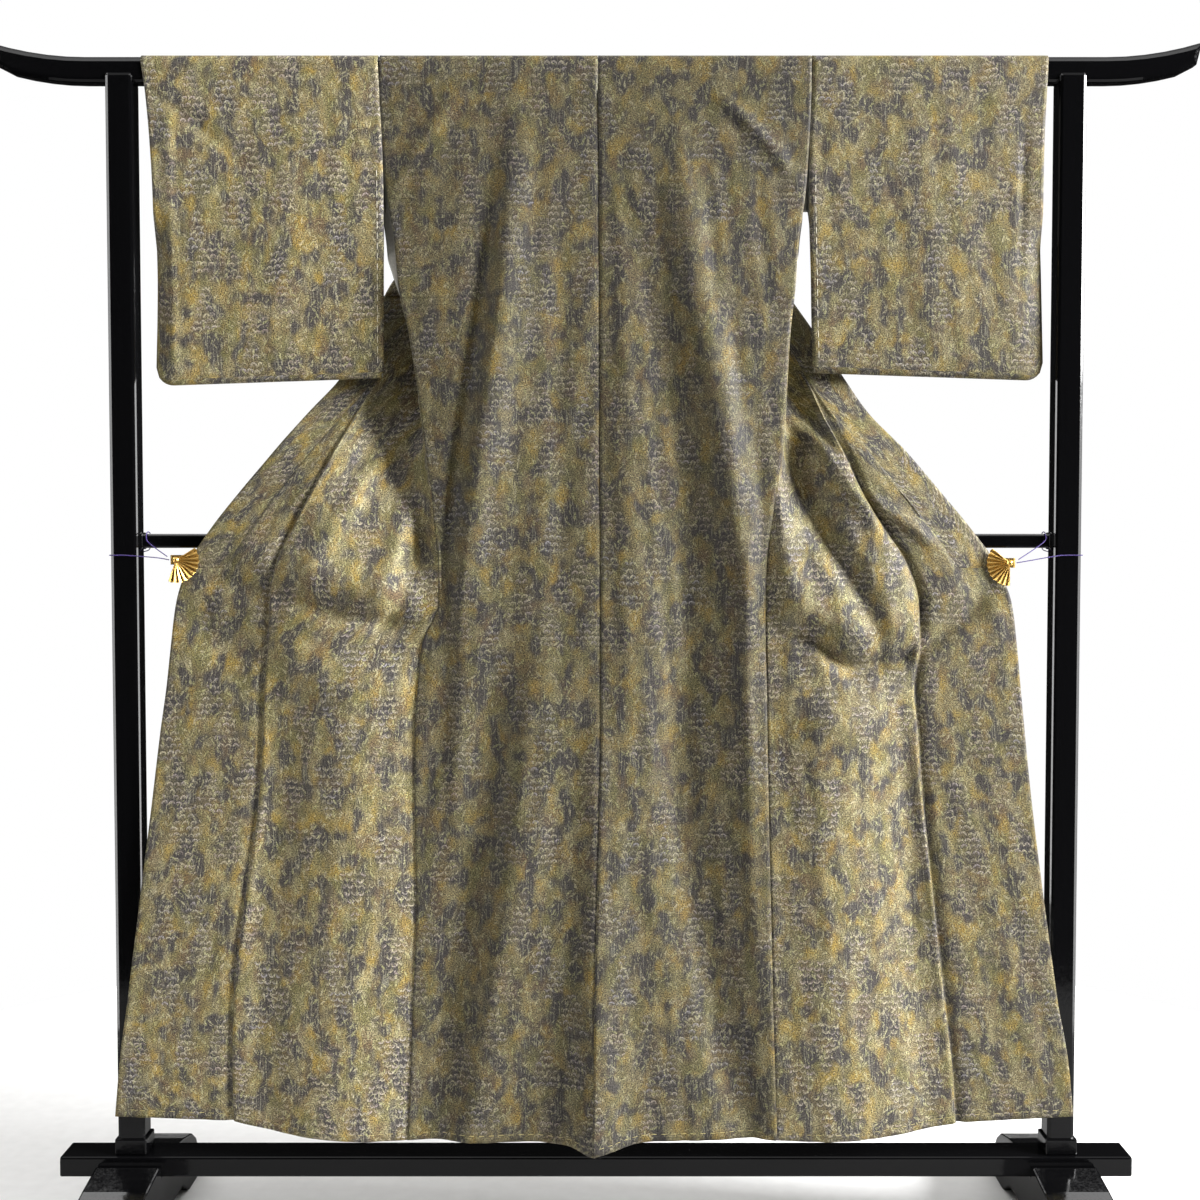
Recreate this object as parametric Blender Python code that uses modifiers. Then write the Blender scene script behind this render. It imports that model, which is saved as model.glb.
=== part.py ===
"""A silk kimono, back to the front, spread on a lacquered display rack.

The garment hangs over the rack's top rail by its shoulders. Its two fronts are drawn out to the
sides by fan clips, which thin cords tie to the rack.

Metres, +Z up. The origin is on the floor, midway between the two posts. The garment's back
faces -Y. "Out" is the distance from the middle of the rack, so one set of functions makes the
left (-X) and the right (+X) half, each from its own table.
"""
import math

import bmesh
import bpy
import numpy as np
from mathutils import Matrix, Vector

# --- cloth ------------------------------------------------------------------------------------
CLOTH = 0.0016            # silk and its lining, as one wall
COLLAR_CLOTH = 0.0024     # the collar is folded double
SEAM = 0.0004             # space between two pieces at a seam
RIDGE_SEAM = 0.0022       # more of it where the centre seam stands out as a ridge at the hem
RIDGE_TOP_Z = 0.60
LAP = 0.0021              # how far behind its neighbour a lapped seam starts
COLLAR_LAP = 0.6 * LAP    # and the collar's seam
HEM_Z = 0.150             # back hem above the floor
HEM_MIDDLE_Z = 0.141      # the same at the centre seam, which swings forward
HEM_RISE_SHARE = 0.28     # share of the back's width in which the hem rises from there
FRONT_HEM_OUT_Z = {"left": 0.171, "right": 0.168}   # front hem at the overlap seam
EDGE_HEM_Z = 0.178        # lowest corner of the front edge
HEM_BLEND_Z = 0.34        # above this height rows are level
SIDE_OPENING_Z = 1.40     # top of the side seam
COLLAR_END_Z = 0.9925     # lower end of the collar
KENSAKI_Z = 1.28          # upper tip of the overlap panel
SHOULDER_HALF = 0.316     # centre seam to sleeve seam at the shoulder
NECK_HALF = 0.090         # half of the neck opening
NECK_COLUMNS = 5
SHOULDER_COLUMNS = 11
OVERLAP_COLUMNS = 3
OVER_COLLAR_Z = 1.40      # lower end of the over-collar
OVER_COLLAR_CLOTH = 0.0012
OVER_COLLAR_LIFT = 0.0042

# --- how folds die out ------------------------------------------------------------------------
FOLD_FADE = 0.05          # beyond the ends of a fold that runs down a panel, in metres
SAG_FADE = 0.15           # beyond those of one that runs across, as a share of the panel's width
HOLD_SHARE = 0.12         # stretch beside a side seam where the back's folds are held down
HELD = 0.25               # what is left of them there
FRONT_CALM = (0.08, 0.05)      # stretches at a front's two seams where its folds die out
OVERLAP_CALM = (0.12, 0.15)    # the same on an overlap panel

# --- rack -------------------------------------------------------------------------------------
POST_SPACING = 1.390
POST_SIZE = 0.040
POST_SOCKET = (0.047, 0.024)          # width, height of the foot ring of a post
POST_CHEEK = 0.014                    # how far a post's cheeks rise beside the rail
RAIL_Z = (1.700, 1.738)
RAIL_DEPTH = 0.032
RAIL_LENGTH = 1.770
RAIL_TIP_RUN = 0.140                  # the stretch at each end that curves up
RAIL_TIP_RISE = 0.021
RAIL_TIP_SLANT = 0.008                # how far the lower edge ends before the upper one
RAIL_TIP_THIN = 0.006                 # and how much less deep the rail is there
RAIL_ROUND = 0.008
CROSS_BAR_Z = 1.032
CROSS_BAR_SIZE = (0.021, 0.018)       # height, depth
CROSS_BAR_COLLAR = (0.005, 0.025)     # length, size of the block at each end
BOARD_SIZE = (1.598, 0.062, 0.030)
BOARD_Z = 0.085
FOOT_WIDTH = 0.096
FOOT_HALF_LENGTH = 0.200
FOOT_TOP = 0.103
TOUCH = 0.0003                        # space between two pieces that touch

# --- clips and cords --------------------------------------------------------------------------
FAN_RADIUS = 0.034
FAN_HUB = 0.005
FAN_PLEATS = 10
FAN_SHEET = 0.0010
FAN_RELIEF = 0.0014
CLIP_SHEET = 0.0010
CLIP_JAW = 0.014                      # height of the spring clip behind the fan
CLIP_Z = {"left": 1.0045, "right": 1.0000}
CLIP_OVERHANG = 0.020                 # from the cloth's free edge out to the fan's hub
CLIP_GAP = 0.0060                     # between the clip's two jaws, round the cloth
CLIP_REACH = 0.032                    # how far the jaws reach in from the hub
FAN_STAND_OFF = 0.0067                # the fan's plane in front of the cloth's
FAN_SPREAD = {"left": (-109.0, 32.0), "right": (-90.0, 39.0)}   # degrees, 0 is inwards
CORD_RADIUS = 0.0009
CORD_STEP = 0.0060
CORD_TIE_Z = 1.011                    # where the cord goes round the post
CORD_BAR_OUT = 0.664                  # and where it goes over the cross bar

# Heights of the rows that every panel shares, from above the hem to below the rail.
LEVELS = (0.22, 0.32, 0.44, 0.56, 0.68, 0.77, 0.84, 0.88, 0.905, 0.925, 0.94, 0.957, 0.977,
          0.9925, 1.02, 1.05, 1.09, 1.13, 1.17, 1.22, 1.28, 1.34, 1.40, 1.47, 1.54, 1.62, 1.69)

# The back: centre seam (signed x) and how far each line stands off the rack's plane.
BACK_COLUMNS = ("z", "centre_x", "centre_y", "mid_y", "left_out", "right_out", "side_y")
BACK_ROWS = (
    (0.15, -0.006, -0.062, -0.057, 0.278, 0.267, -0.050),
    (0.25, -0.004, -0.062, -0.057, 0.273, 0.263, -0.050),
    (0.35, -0.003, -0.062, -0.058, 0.269, 0.260, -0.049),
    (0.50, 0.001, -0.060, -0.056, 0.263, 0.256, -0.048),
    (0.65, 0.005, -0.057, -0.054, 0.265, 0.252, -0.047),
    (0.75, 0.007, -0.055, -0.052, 0.265, 0.250, -0.046),
    (0.82, 0.007, -0.053, -0.051, 0.260, 0.249, -0.045),
    (0.88, 0.007, -0.052, -0.050, 0.254, 0.247, -0.045),
    (0.94, 0.007, -0.050, -0.049, 0.230, 0.247, -0.045),
    (1.00, 0.007, -0.048, -0.048, 0.230, 0.249, -0.044),
    (1.05, 0.007, -0.046, -0.047, 0.235, 0.255, -0.043),
    (1.10, 0.006, -0.044, -0.046, 0.239, 0.262, -0.042),
    (1.16, 0.006, -0.041, -0.045, 0.247, 0.271, -0.041),
    (1.22, 0.006, -0.039, -0.043, 0.255, 0.276, -0.039),
    (1.28, 0.006, -0.036, -0.041, 0.263, 0.279, -0.037),
    (1.34, 0.006, -0.033, -0.038, 0.273, 0.283, -0.034),
    (1.40, 0.006, -0.030, -0.034, 0.287, 0.290, -0.030),
    (1.47, 0.005, -0.026, -0.030, 0.294, 0.296, -0.024),
    (1.54, 0.005, -0.023, -0.025, 0.305, 0.306, -0.0182),
    (1.62, 0.004, -0.020, -0.021, 0.3115, 0.3115, -0.0176),
    (1.69, 0.003, -0.0182, -0.0182, 0.3150, 0.3140, -0.0174),
)

# The fronts. At each height a row of cloth runs from the side seam ("seam") to the overlap
# seam ("okumi"), then to the collar seam and the free edge. "tuck" and "pull" are the handles of
# the curve between seam and okumi: a tuck towards the middle is the slack that doubles back
# inside the garment, as it does above the clips.
FRONT_COLUMNS = ("z", "seam_y", "tuck_out", "tuck_y", "pull_out", "pull_y",
                 "okumi_out", "okumi_y", "collar_out", "collar_y", "edge_out", "edge_y")
LEFT_FRONT_ROWS = (
    (0.15, -0.050, 0.070, -0.014, -0.070, -0.022, 0.537, -0.034, 0.640, -0.034, 0.714, -0.034),
    (0.25, -0.050, 0.070, -0.014, -0.070, -0.020, 0.539, -0.034, 0.634, -0.034, 0.706, -0.034),
    (0.35, -0.049, 0.070, -0.010, -0.070, -0.016, 0.535, -0.034, 0.622, -0.034, 0.694, -0.033),
    (0.50, -0.048, 0.070, -0.006, -0.070, -0.012, 0.518, -0.034, 0.603, -0.034, 0.674, -0.033),
    (0.65, -0.047, 0.070, -0.004, -0.070, -0.010, 0.496, -0.035, 0.584, -0.034, 0.654, -0.032),
    (0.75, -0.046, 0.070, -0.004, -0.070, -0.010, 0.488, -0.036, 0.572, -0.034, 0.641, -0.032),
    (0.82, -0.045, 0.070, -0.004, -0.070, -0.012, 0.485, -0.037, 0.563, -0.034, 0.631, -0.031),
    (0.88, -0.045, 0.060, 0.002, -0.070, -0.016, 0.479, -0.038, 0.556, -0.034, 0.624, -0.031),
    (0.94, -0.045, 0.060, -0.016, -0.075, -0.026, 0.476, -0.042, 0.549, -0.036, 0.616, -0.031),
    (1.00, -0.044, 0.055, -0.008, -0.080, -0.028, 0.465, -0.044, 0.535, -0.037, 0.596, -0.031),
    (1.05, -0.043, 0.050, 0.010, -0.080, -0.020, 0.441, -0.043, 0.505, -0.036, 0.564, -0.030),
    (1.10, -0.042, 0.030, 0.046, -0.080, 0.004, 0.415, -0.040, 0.467, -0.033, 0.525, -0.027),
    (1.16, -0.041, 0.004, 0.084, -0.075, 0.036, 0.383, -0.034, 0.420, -0.028, 0.475, -0.022),
    (1.22, -0.039, -0.040, 0.100, -0.075, 0.050, 0.353, -0.002, 0.372, 0.000, 0.427, 0.003),
    (1.28, -0.037, -0.080, 0.094, -0.085, 0.044, 0.322, 0.020, 0.3245, 0.0205, 0.377, 0.024),
    (1.34, -0.034, -0.110, 0.072, -0.090, 0.034, 0.294, 0.034, 0.294, 0.034, 0.351, 0.044),
    (1.40, -0.030, -0.125, 0.048, -0.085, 0.012, 0.264, 0.045, 0.264, 0.045, 0.321, 0.064),
    (1.47, 0.000, -0.080, 0.006, -0.010, -0.012, 0.230, 0.048, 0.230, 0.048, 0.269, 0.088),
    (1.54, 0.0182, -0.050, 0.002, 0.010, -0.004, 0.198, 0.036, 0.198, 0.036, 0.202, 0.087),
    (1.62, 0.0176, -0.060, 0.001, 0.030, -0.002, 0.155, 0.024, 0.155, 0.024, 0.124, 0.068),
    (1.69, 0.0174, -0.060, 0.000, 0.050, -0.001, 0.112, 0.0200, 0.112, 0.0200, 0.072, 0.055),
)
RIGHT_FRONT_ROWS = (
    (0.15, -0.050, 0.070, -0.010, -0.070, -0.016, 0.534, -0.034, 0.636, -0.034, 0.709, -0.034),
    (0.25, -0.050, 0.070, -0.012, -0.070, -0.018, 0.527, -0.034, 0.628, -0.034, 0.700, -0.034),
    (0.35, -0.049, 0.070, -0.008, -0.070, -0.014, 0.516, -0.034, 0.613, -0.034, 0.684, -0.033),
    (0.50, -0.048, 0.070, -0.006, -0.070, -0.012, 0.498, -0.034, 0.592, -0.034, 0.662, -0.033),
    (0.65, -0.047, 0.070, -0.004, -0.070, -0.010, 0.481, -0.035, 0.573, -0.034, 0.642, -0.032),
    (0.75, -0.046, 0.070, -0.004, -0.070, -0.010, 0.472, -0.036, 0.562, -0.034, 0.631, -0.032),
    (0.82, -0.045, 0.070, -0.006, -0.070, -0.010, 0.466, -0.038, 0.556, -0.034, 0.624, -0.031),
    (0.88, -0.045, 0.060, -0.008, -0.070, -0.024, 0.473, -0.042, 0.552, -0.036, 0.618, -0.031),
    (0.94, -0.045, 0.060, -0.006, -0.060, -0.034, 0.471, -0.044, 0.546, -0.038, 0.610, -0.031),
    (1.00, -0.044, 0.050, 0.004, -0.040, -0.036, 0.452, -0.043, 0.522, -0.038, 0.585, -0.031),
    (1.05, -0.043, 0.040, 0.024, -0.020, -0.034, 0.420, -0.040, 0.490, -0.036, 0.549, -0.030),
    (1.10, -0.042, 0.024, 0.050, -0.006, -0.026, 0.390, -0.036, 0.452, -0.032, 0.508, -0.026),
    (1.16, -0.041, 0.010, 0.076, -0.004, -0.004, 0.362, -0.030, 0.402, -0.026, 0.458, -0.020),
    (1.22, -0.039, -0.020, 0.096, -0.020, 0.018, 0.334, -0.002, 0.350, 0.000, 0.404, 0.004),
    (1.28, -0.037, -0.060, 0.094, -0.050, 0.030, 0.310, 0.020, 0.3125, 0.0205, 0.366, 0.025),
    (1.34, -0.034, -0.095, 0.072, -0.075, 0.028, 0.278, 0.035, 0.278, 0.035, 0.331, 0.045),
    (1.40, -0.030, -0.120, 0.048, -0.080, 0.012, 0.242, 0.045, 0.242, 0.045, 0.292, 0.065),
    (1.47, 0.000, -0.080, 0.006, -0.010, -0.012, 0.218, 0.048, 0.218, 0.048, 0.245, 0.090),
    (1.54, 0.0182, -0.050, 0.002, 0.010, -0.004, 0.196, 0.034, 0.196, 0.034, 0.196, 0.086),
    (1.62, 0.0176, -0.060, 0.001, 0.030, -0.002, 0.154, 0.024, 0.154, 0.024, 0.124, 0.068),
    (1.69, 0.0174, -0.060, 0.000, 0.050, -0.001, 0.112, 0.0200, 0.112, 0.0200, 0.072, 0.055),
)

# Folds that run down a panel: width, lean, and a line of (z, place, rise) with z rising. Place is
# the signed x on the back and the share of the way from side seam to overlap seam on a front. A
# positive rise is a ridge towards -Y and a negative one a trough. Width is from the line to where
# the rise has dropped to 1/e; a lean makes the side of greater place wider and the other narrower.
BACK_FOLDS = (
    (0.024, 0.42, ((0.62, -0.205, 0.003), (0.88, -0.196, 0.008), (1, -0.188, 0.014),
                   (1.24, -0.158, 0.018), (1.4, -0.136, 0.015), (1.55, -0.124, 0.008),
                   (1.69, -0.118, 0.001))),
    (0.018, 0, ((0.9, -0.24, -0.0032), (1, -0.226, -0.0064), (1.24, -0.19, -0.0072),
                (1.44, -0.162, -0.0056), (1.6, -0.15, 0))),
    (0.038, 0.35, ((0.15, -0.185, 0.012), (0.3, -0.16, 0.015), (0.5, -0.13, 0.016), (0.72, -0.1, 0.011),
                   (0.9, -0.08, 0.003))),
    (0.03, 0, ((0.15, -0.25, -0.005), (0.4, -0.2, -0.009), (0.7, -0.158, -0.008), (0.86, -0.14, 0))),
    (0.034, 0.3, ((0.14, -0.004, 0.038), (0.3, -0.002, 0.025), (0.45, 0, 0.016), (0.62, 0.003, 0.01),
                  (0.82, 0.005, 0.002))),
    (0.028, 0, ((0.4, 0.246, 0.005), (0.65, 0.222, 0.01), (0.8, 0.222, 0.013), (0.95, 0.222, 0.015),
                (1.05, 0.208, 0.016), (1.24, 0.178, 0.015), (1.4, 0.146, 0.011), (1.52, 0.128, 0.007),
                (1.66, 0.114, 0))),
    (0.034, 0, ((0.15, 0.232, -0.01), (0.33, 0.178, -0.014), (0.5, 0.146, -0.014), (0.7, 0.126, -0.015),
                (0.9, 0.132, -0.014), (1.1, 0.126, -0.01), (1.3, 0.103, -0.007), (1.5, 0.078, -0.003))),
    (0.018, 0, ((1.56, 0.295, 0.0028), (1.64, 0.222, 0.0042), (1.7, 0.16, 0))),
    (0.018, 0, ((1.56, -0.29, 0.0021), (1.64, -0.235, 0.0035), (1.7, -0.19, 0))),
    (0.022, 0, ((0.8, 0.05, 0.003), (1.1, 0.045, 0.004), (1.4, 0.04, 0.003))),
    (0.02, 0, ((0.9, -0.05, -0.003), (1.15, -0.05, -0.004), (1.45, -0.045, -0.002))),
)
LEFT_FRONT_FOLDS = (
    (0.022, 0, ((0.92, 0.35, 0.004), (1, 0.27, 0.016), (1.12, 0.06, 0.003))),
    (0.022, 0, ((0.905, 0.27, -0.0044), (0.98, 0.19, -0.0103), (1.05, 0.1, -0.0022))),
    (0.022, 0, ((1, 0.75, 0.0049), (1.1, 0.66, 0.0082), (1.2, 0.5, 0.0049))),
    (0.062, 0, ((0.16, 0.36, 0.007), (0.5, 0.38, 0.008), (0.7, 0.42, 0.012), (0.82, 0.46, 0.008))),
    (0.034, 0, ((0.16, 0.8, -0.007), (0.5, 0.84, -0.009), (0.84, 0.9, -0.003))),
)
RIGHT_FRONT_FOLDS = (
    (0.022, 0, ((0.884, 0.72, -0.0082), (0.929, 0.65, -0.0123), (1.069, 0.42, -0.018),
                (1.225, 0.14, -0.0065))),
    (0.022, 0, ((0.92, 0.2, 0.008), (1.03, 0.11, 0.014), (1.16, 0.02, 0.003))),
    (0.022, 0, ((1.06, 0.94, 0.0047), (1.12, 0.86, 0.0093), (1.17, 0.7, 0.0093), (1.235, 0.48, 0.0062))),
    (0.058, 0.25, ((0.16, 0.34, 0.009), (0.5, 0.36, 0.012), (0.74, 0.4, 0.013), (0.83, 0.44, 0.005))),
    (0.032, 0, ((0.16, 0.84, -0.007), (0.5, 0.86, -0.01), (0.84, 0.9, -0.003))),
)
# Folds that run across a front, where its slack bags out above the clip level. Here a line is of
# (share, z, rise), with the share rising.
LEFT_SAGS = (
    (0.022, 0, ((0.1, 0.905, -0.0043), (0.25, 0.911, -0.0086), (0.52, 0.925, -0.0104),
                (0.75, 0.94, -0.008), (1, 0.955, -0.0037))),
    (0.03, 0, ((0.05, 0.965, 0.005), (0.45, 0.972, 0.018), (0.95, 0.995, 0.006))),
    (0.042, 0, ((0.1, 0.83, 0.004), (0.45, 0.83, 0.009), (0.9, 0.86, 0.004))),
)
RIGHT_SAGS = (
    (0.022, 0, ((0.1, 0.898, -0.0043), (0.27, 0.893, -0.0086), (0.58, 0.846, -0.011),
                (0.9, 0.862, -0.0074), (1, 0.87, -0.0049))),
    (0.034, 0, ((0.15, 0.95, 0.005), (0.6, 0.902, 0.018), (1, 0.925, 0.008))),
    (0.048, 0, ((0.2, 0.78, 0.004), (0.55, 0.765, 0.009), (0.95, 0.79, 0.004))),
)
# The same on the overlap panels: the share is of the way from overlap seam to free edge.
LEFT_OVERLAP_SAGS = (
    (0.022, 0, ((0, 0.955, -0.0034), (0.4, 0.965, -0.0029), (0.95, 0.993, -0.0011))),
    (0.022, 0, ((0, 1.01, 0.006), (0.45, 1.015, 0.007), (0.8, 1.01, 0))),
    (0.034, 0, ((0.05, 0.88, -0.004), (0.45, 0.88, -0.008), (0.9, 0.93, -0.002))),
)
RIGHT_OVERLAP_SAGS = (
    (0.022, 0, ((0, 0.872, -0.0065), (0.4, 0.912, -0.0065), (0.95, 0.97, -0.0026))),
    (0.024, 0, ((0, 0.93, 0.009), (0.4, 0.96, 0.006), (0.8, 0.985, 0))),
    (0.022, 0, ((0, 1.1, 0.0057), (0.4, 1.044, 0.007), (0.75, 1.015, 0))),
)
# How far the side seams stand out towards -Y, and how far into each panel that reaches.
SEAM_RIDGE_COLUMNS = ("z", "left", "right")
SEAM_RIDGE_ROWS = (
    (0.15, 0.005, 0.008),
    (0.40, 0.004, 0.010),
    (0.65, 0.003, 0.011),
    (0.90, 0.002, 0.009),
    (1.05, 0.001, 0.005),
    (1.20, 0.000, 0.001),
    (1.35, 0.000, 0.000),
)
SEAM_RIDGE_WIDTH = 0.030

# The sleeves: out from the middle at the body side and at the cuff, and the space inside.
SLEEVE_COLUMNS = ("z", "left_in", "left_cuff", "right_in", "right_cuff", "half_gap")
SLEEVE_ROWS = (
    (1.26, 0.3115, 0.649, 0.3190, 0.660, 0.0075),
    (1.30, 0.3115, 0.648, 0.3185, 0.659, 0.0095),
    (1.36, 0.3110, 0.646, 0.3160, 0.657, 0.0125),
    (1.42, 0.3105, 0.645, 0.3145, 0.655, 0.0150),
    (1.48, 0.3100, 0.646, 0.3125, 0.653, 0.0170),
    (1.54, 0.3100, 0.647, 0.3110, 0.653, 0.0182),
    (1.62, 0.3122, 0.651, 0.3122, 0.654, 0.0176),
    (1.69, 0.3157, 0.657, 0.3147, 0.657, 0.0174),
    (1.74, 0.3180, 0.664, 0.3155, 0.659, 0.0174),
)
SLEEVE_BOTTOM = {"left": (1.2725, 1.2610), "right": (1.2800, 1.2685)}   # z at body side, at cuff
SLEEVE_CORNER = 0.026     # radius of the corner below the cuff
SLEEVE_TURN = 0.004       # height above the lower edge where the layers turn into it
SLEEVE_SHARES = (0.0, 0.05, 0.15, 0.3, 0.45, 0.6, 0.75, 0.88, 1.0)   # rows of a layer
SLEEVE_ACROSS = (0.0, 0.172, 0.344, 0.516, 0.688, 0.86, 0.93, 0.97, 1.0)   # closer at the corner
CUFF_OPEN_Z = 1.51        # the cuff is open above this height and sewn shut below
CUFF_SHUT_HALF = 0.0013   # half of the space between the layers where they are sewn
CUFF_EASE = 0.045         # width of the stretch that narrows to the sewn edge

# The collar behind the neck: half of it, from the middle outwards. "seam" is its sewn edge and
# "fall" its free edge.
NECK_STATIONS = (
    # seam_out, seam_y, seam_z, fall_out, fall_y, fall_z
    (0.000, 0.0188, 1.7135, 0.000, 0.040, 1.6625),
    (0.045, 0.0188, 1.7135, 0.020, 0.041, 1.6635),
    (0.086, 0.0188, 1.7125, 0.042, 0.045, 1.6700),
)

COLOURS = {
    "silk": ((0.165, 0.150, 0.085), 0.62, 0.0),
    "silk_collar": ((0.180, 0.155, 0.080), 0.62, 0.0),
    "lacquer": ((0.006, 0.006, 0.007), 0.12, 0.0),
    "gilt": ((0.80, 0.56, 0.22), 0.26, 1.0),
    "violet_cord": ((0.045, 0.016, 0.120), 0.70, 0.0),
}


class Table:
    """Rows of named columns, read at any value of the first column along a smooth curve."""

    def __init__(self, columns, rows):
        self.columns = columns
        self.data = np.array(rows, dtype=float)

    def at(self, key, name):
        keys = self.data[:, 0]
        values = self.data[:, self.columns.index(name)]
        return smooth_between(key, keys, values)


def smooth_between(key, keys, values):
    """Monotone cubic through the rows, held level beyond the first and last."""
    key = min(max(key, keys[0]), keys[-1])
    i = min(int(np.searchsorted(keys, key, side="right")) - 1, len(keys) - 2)
    steps = np.diff(keys)
    slopes = np.diff(values) / steps

    def tangent(k):
        if k == 0 or k == len(keys) - 1:
            return slopes[min(k, len(slopes) - 1)]
        before, after = slopes[k - 1], slopes[k]
        if before * after <= 0.0:
            return 0.0
        return 2.0 * before * after / (before + after)

    h = steps[i]
    t = (key - keys[i]) / h
    return ((2 * t ** 3 - 3 * t ** 2 + 1) * values[i] + (t ** 3 - 2 * t ** 2 + t) * h * tangent(i)
            + (3 * t ** 2 - 2 * t ** 3) * values[i + 1] + (t ** 3 - t ** 2) * h * tangent(i + 1))


BACK = Table(BACK_COLUMNS, BACK_ROWS)
SLEEVE = Table(SLEEVE_COLUMNS, SLEEVE_ROWS)
SEAM_RIDGE = Table(SEAM_RIDGE_COLUMNS, SEAM_RIDGE_ROWS)
FRONT = {"left": Table(FRONT_COLUMNS, LEFT_FRONT_ROWS),
         "right": Table(FRONT_COLUMNS, RIGHT_FRONT_ROWS)}
FRONT_FOLDS = {"left": LEFT_FRONT_FOLDS, "right": RIGHT_FRONT_FOLDS}
FRONT_SAGS = {"left": LEFT_SAGS, "right": RIGHT_SAGS}
OVERLAP_SAGS = {"left": LEFT_OVERLAP_SAGS, "right": RIGHT_OVERLAP_SAGS}
SIGN = {"left": -1.0, "right": 1.0}


# --- folds ------------------------------------------------------------------------------------
def fold_rise(folds, level, place, scale=1.0, fade=FOLD_FADE):
    """Height of all folds at a place. Each fold's line gives a place for every level.

    level is measured along the fold (height, for a fold that runs down) and place across it.
    scale turns the distance between places into metres. A fold dies out within fade of its ends.
    """
    total = 0.0
    for width, lean, path in folds:
        keys, places, rises = np.array(path).T
        outside = max(keys[0] - level, level - keys[-1], 0.0)
        if outside >= fade:
            continue
        across = (place - smooth_between(level, keys, places)) * scale
        reach = width * (1.0 + math.copysign(lean, across))
        rise = smooth_between(level, keys, rises) * (1.0 - outside / fade)
        total += rise * math.exp(-(across / reach) ** 2)
    return total


def sag_rise(sags, at, z):
    """Height of the folds that run across a front, at a share of its width and a height."""
    return fold_rise(sags, at, z, fade=SAG_FADE)


# --- the back ---------------------------------------------------------------------------------
def shoulder_shares():
    """Column places from the centre seam (0) to the side (1); the neck takes the first ones."""
    neck = [NECK_HALF * j / NECK_COLUMNS for j in range(NECK_COLUMNS + 1)]
    rest = SHOULDER_HALF - NECK_HALF
    side = [NECK_HALF + rest * j / SHOULDER_COLUMNS for j in range(1, SHOULDER_COLUMNS + 1)]
    return [x / SHOULDER_HALF for x in neck + side]


def back_point(side, share, z):
    """A point of the back panel, centre seam at share 0 and side seam at share 1."""
    sign = SIGN[side]
    ridge = max(0.0, (RIDGE_TOP_Z - z) / (RIDGE_TOP_Z - HEM_Z))
    centre = BACK.at(z, "centre_x") + sign * (SEAM + RIDGE_SEAM * ridge) / 2
    edge = sign * BACK.at(z, side + "_out")
    x = centre + (edge - centre) * share
    hump = 4 * share * (1 - share)
    y = (BACK.at(z, "centre_y") * (1 - share) + BACK.at(z, "side_y") * share
         + hump * (BACK.at(z, "mid_y") - (BACK.at(z, "centre_y") + BACK.at(z, "side_y")) / 2))
    hold = HELD + (1.0 - HELD) * min(1.0, (1.0 - share) / HOLD_SHARE)
    y -= fold_rise(BACK_FOLDS, z, x) * hold
    y -= SEAM_RIDGE.at(z, side) * math.exp(-((edge - x) / SEAM_RIDGE_WIDTH) ** 2)
    return Vector((x, y, z))


def back_hem(share):
    """Height of the back's hem at a share of the way from centre seam to side."""
    return HEM_MIDDLE_Z + (HEM_Z - HEM_MIDDLE_Z) * min(1.0, share / HEM_RISE_SHARE)


def hung(z, hem):
    """A level's height where the hem lies at another height than the nominal one."""
    if z >= HEM_BLEND_Z:
        return z
    return hem + (z - HEM_Z) * (HEM_BLEND_Z - hem) / (HEM_BLEND_Z - HEM_Z)


def rail_wrap():
    """(y, z) of the cloth from the -Y face of the rail over its top to the +Y face."""
    stand_off = TOUCH + CLOTH / 2 + TOUCH
    radius = RAIL_ROUND + stand_off
    centre_y = RAIL_DEPTH / 2 - RAIL_ROUND
    centre_z = RAIL_Z[1] - RAIL_ROUND
    quarter = [(centre_y + radius * math.cos(a), centre_z + radius * math.sin(a))
               for a in (0.0, math.radians(30), math.radians(60), math.radians(90))]
    near = [(-y, z) for y, z in quarter]
    return near + quarter[::-1]


# --- the fronts -------------------------------------------------------------------------------
def curve_row(p0, p1, p2, p3, shares):
    """Points at the given shares of the length of a Bezier curve in plan."""
    samples = 48
    dense = []
    for k in range(samples + 1):
        t = k / samples
        dense.append(p0 * (1 - t) ** 3 + p1 * 3 * t * (1 - t) ** 2 + p2 * 3 * t * t * (1 - t)
                     + p3 * t ** 3)
    lengths = [0.0]
    for a, b in zip(dense, dense[1:]):
        lengths.append(lengths[-1] + (b - a).length)
    xs = np.interp([s * lengths[-1] for s in shares], lengths, [p.x for p in dense])
    ys = np.interp([s * lengths[-1] for s in shares], lengths, [p.y for p in dense])
    return [Vector((x, y)) for x, y in zip(xs, ys)], lengths[-1]


def front_row(side, z, shares):
    """One row of a front in plan, from the side seam (0) to the overlap or collar seam (1)."""
    table, sign = FRONT[side], SIGN[side]
    seam_y = table.at(z, "seam_y") - SEAM_RIDGE.at(z, side)
    seam_out = BACK.at(z, side + "_out")
    if z <= SIDE_OPENING_Z:
        seam_out += SEAM
        seam_y += LAP
    start = Vector((sign * seam_out, seam_y))
    end = Vector((sign * table.at(z, "okumi_out"), table.at(z, "okumi_y")))
    tuck = Vector((sign * table.at(z, "tuck_out"), table.at(z, "tuck_y")))
    pull = Vector((sign * table.at(z, "pull_out"), table.at(z, "pull_y")))
    row, length = curve_row(start, start + tuck, end + pull, end, shares)
    points = []
    for share, point in zip(shares, row):
        ends = min(1.0, share / FRONT_CALM[0], (1.0 - share) / FRONT_CALM[1])
        rise = fold_rise(FRONT_FOLDS[side], z, share, scale=length)
        rise += sag_rise(FRONT_SAGS[side], share, z)
        points.append(Vector((point.x, point.y - rise * max(0.0, ends), z)))
    return points


def front_hem(side, share):
    """Height of a front's hem at a share of the way from side seam to overlap seam."""
    return HEM_Z + (FRONT_HEM_OUT_Z[side] - HEM_Z) * share ** 2.5


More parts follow.
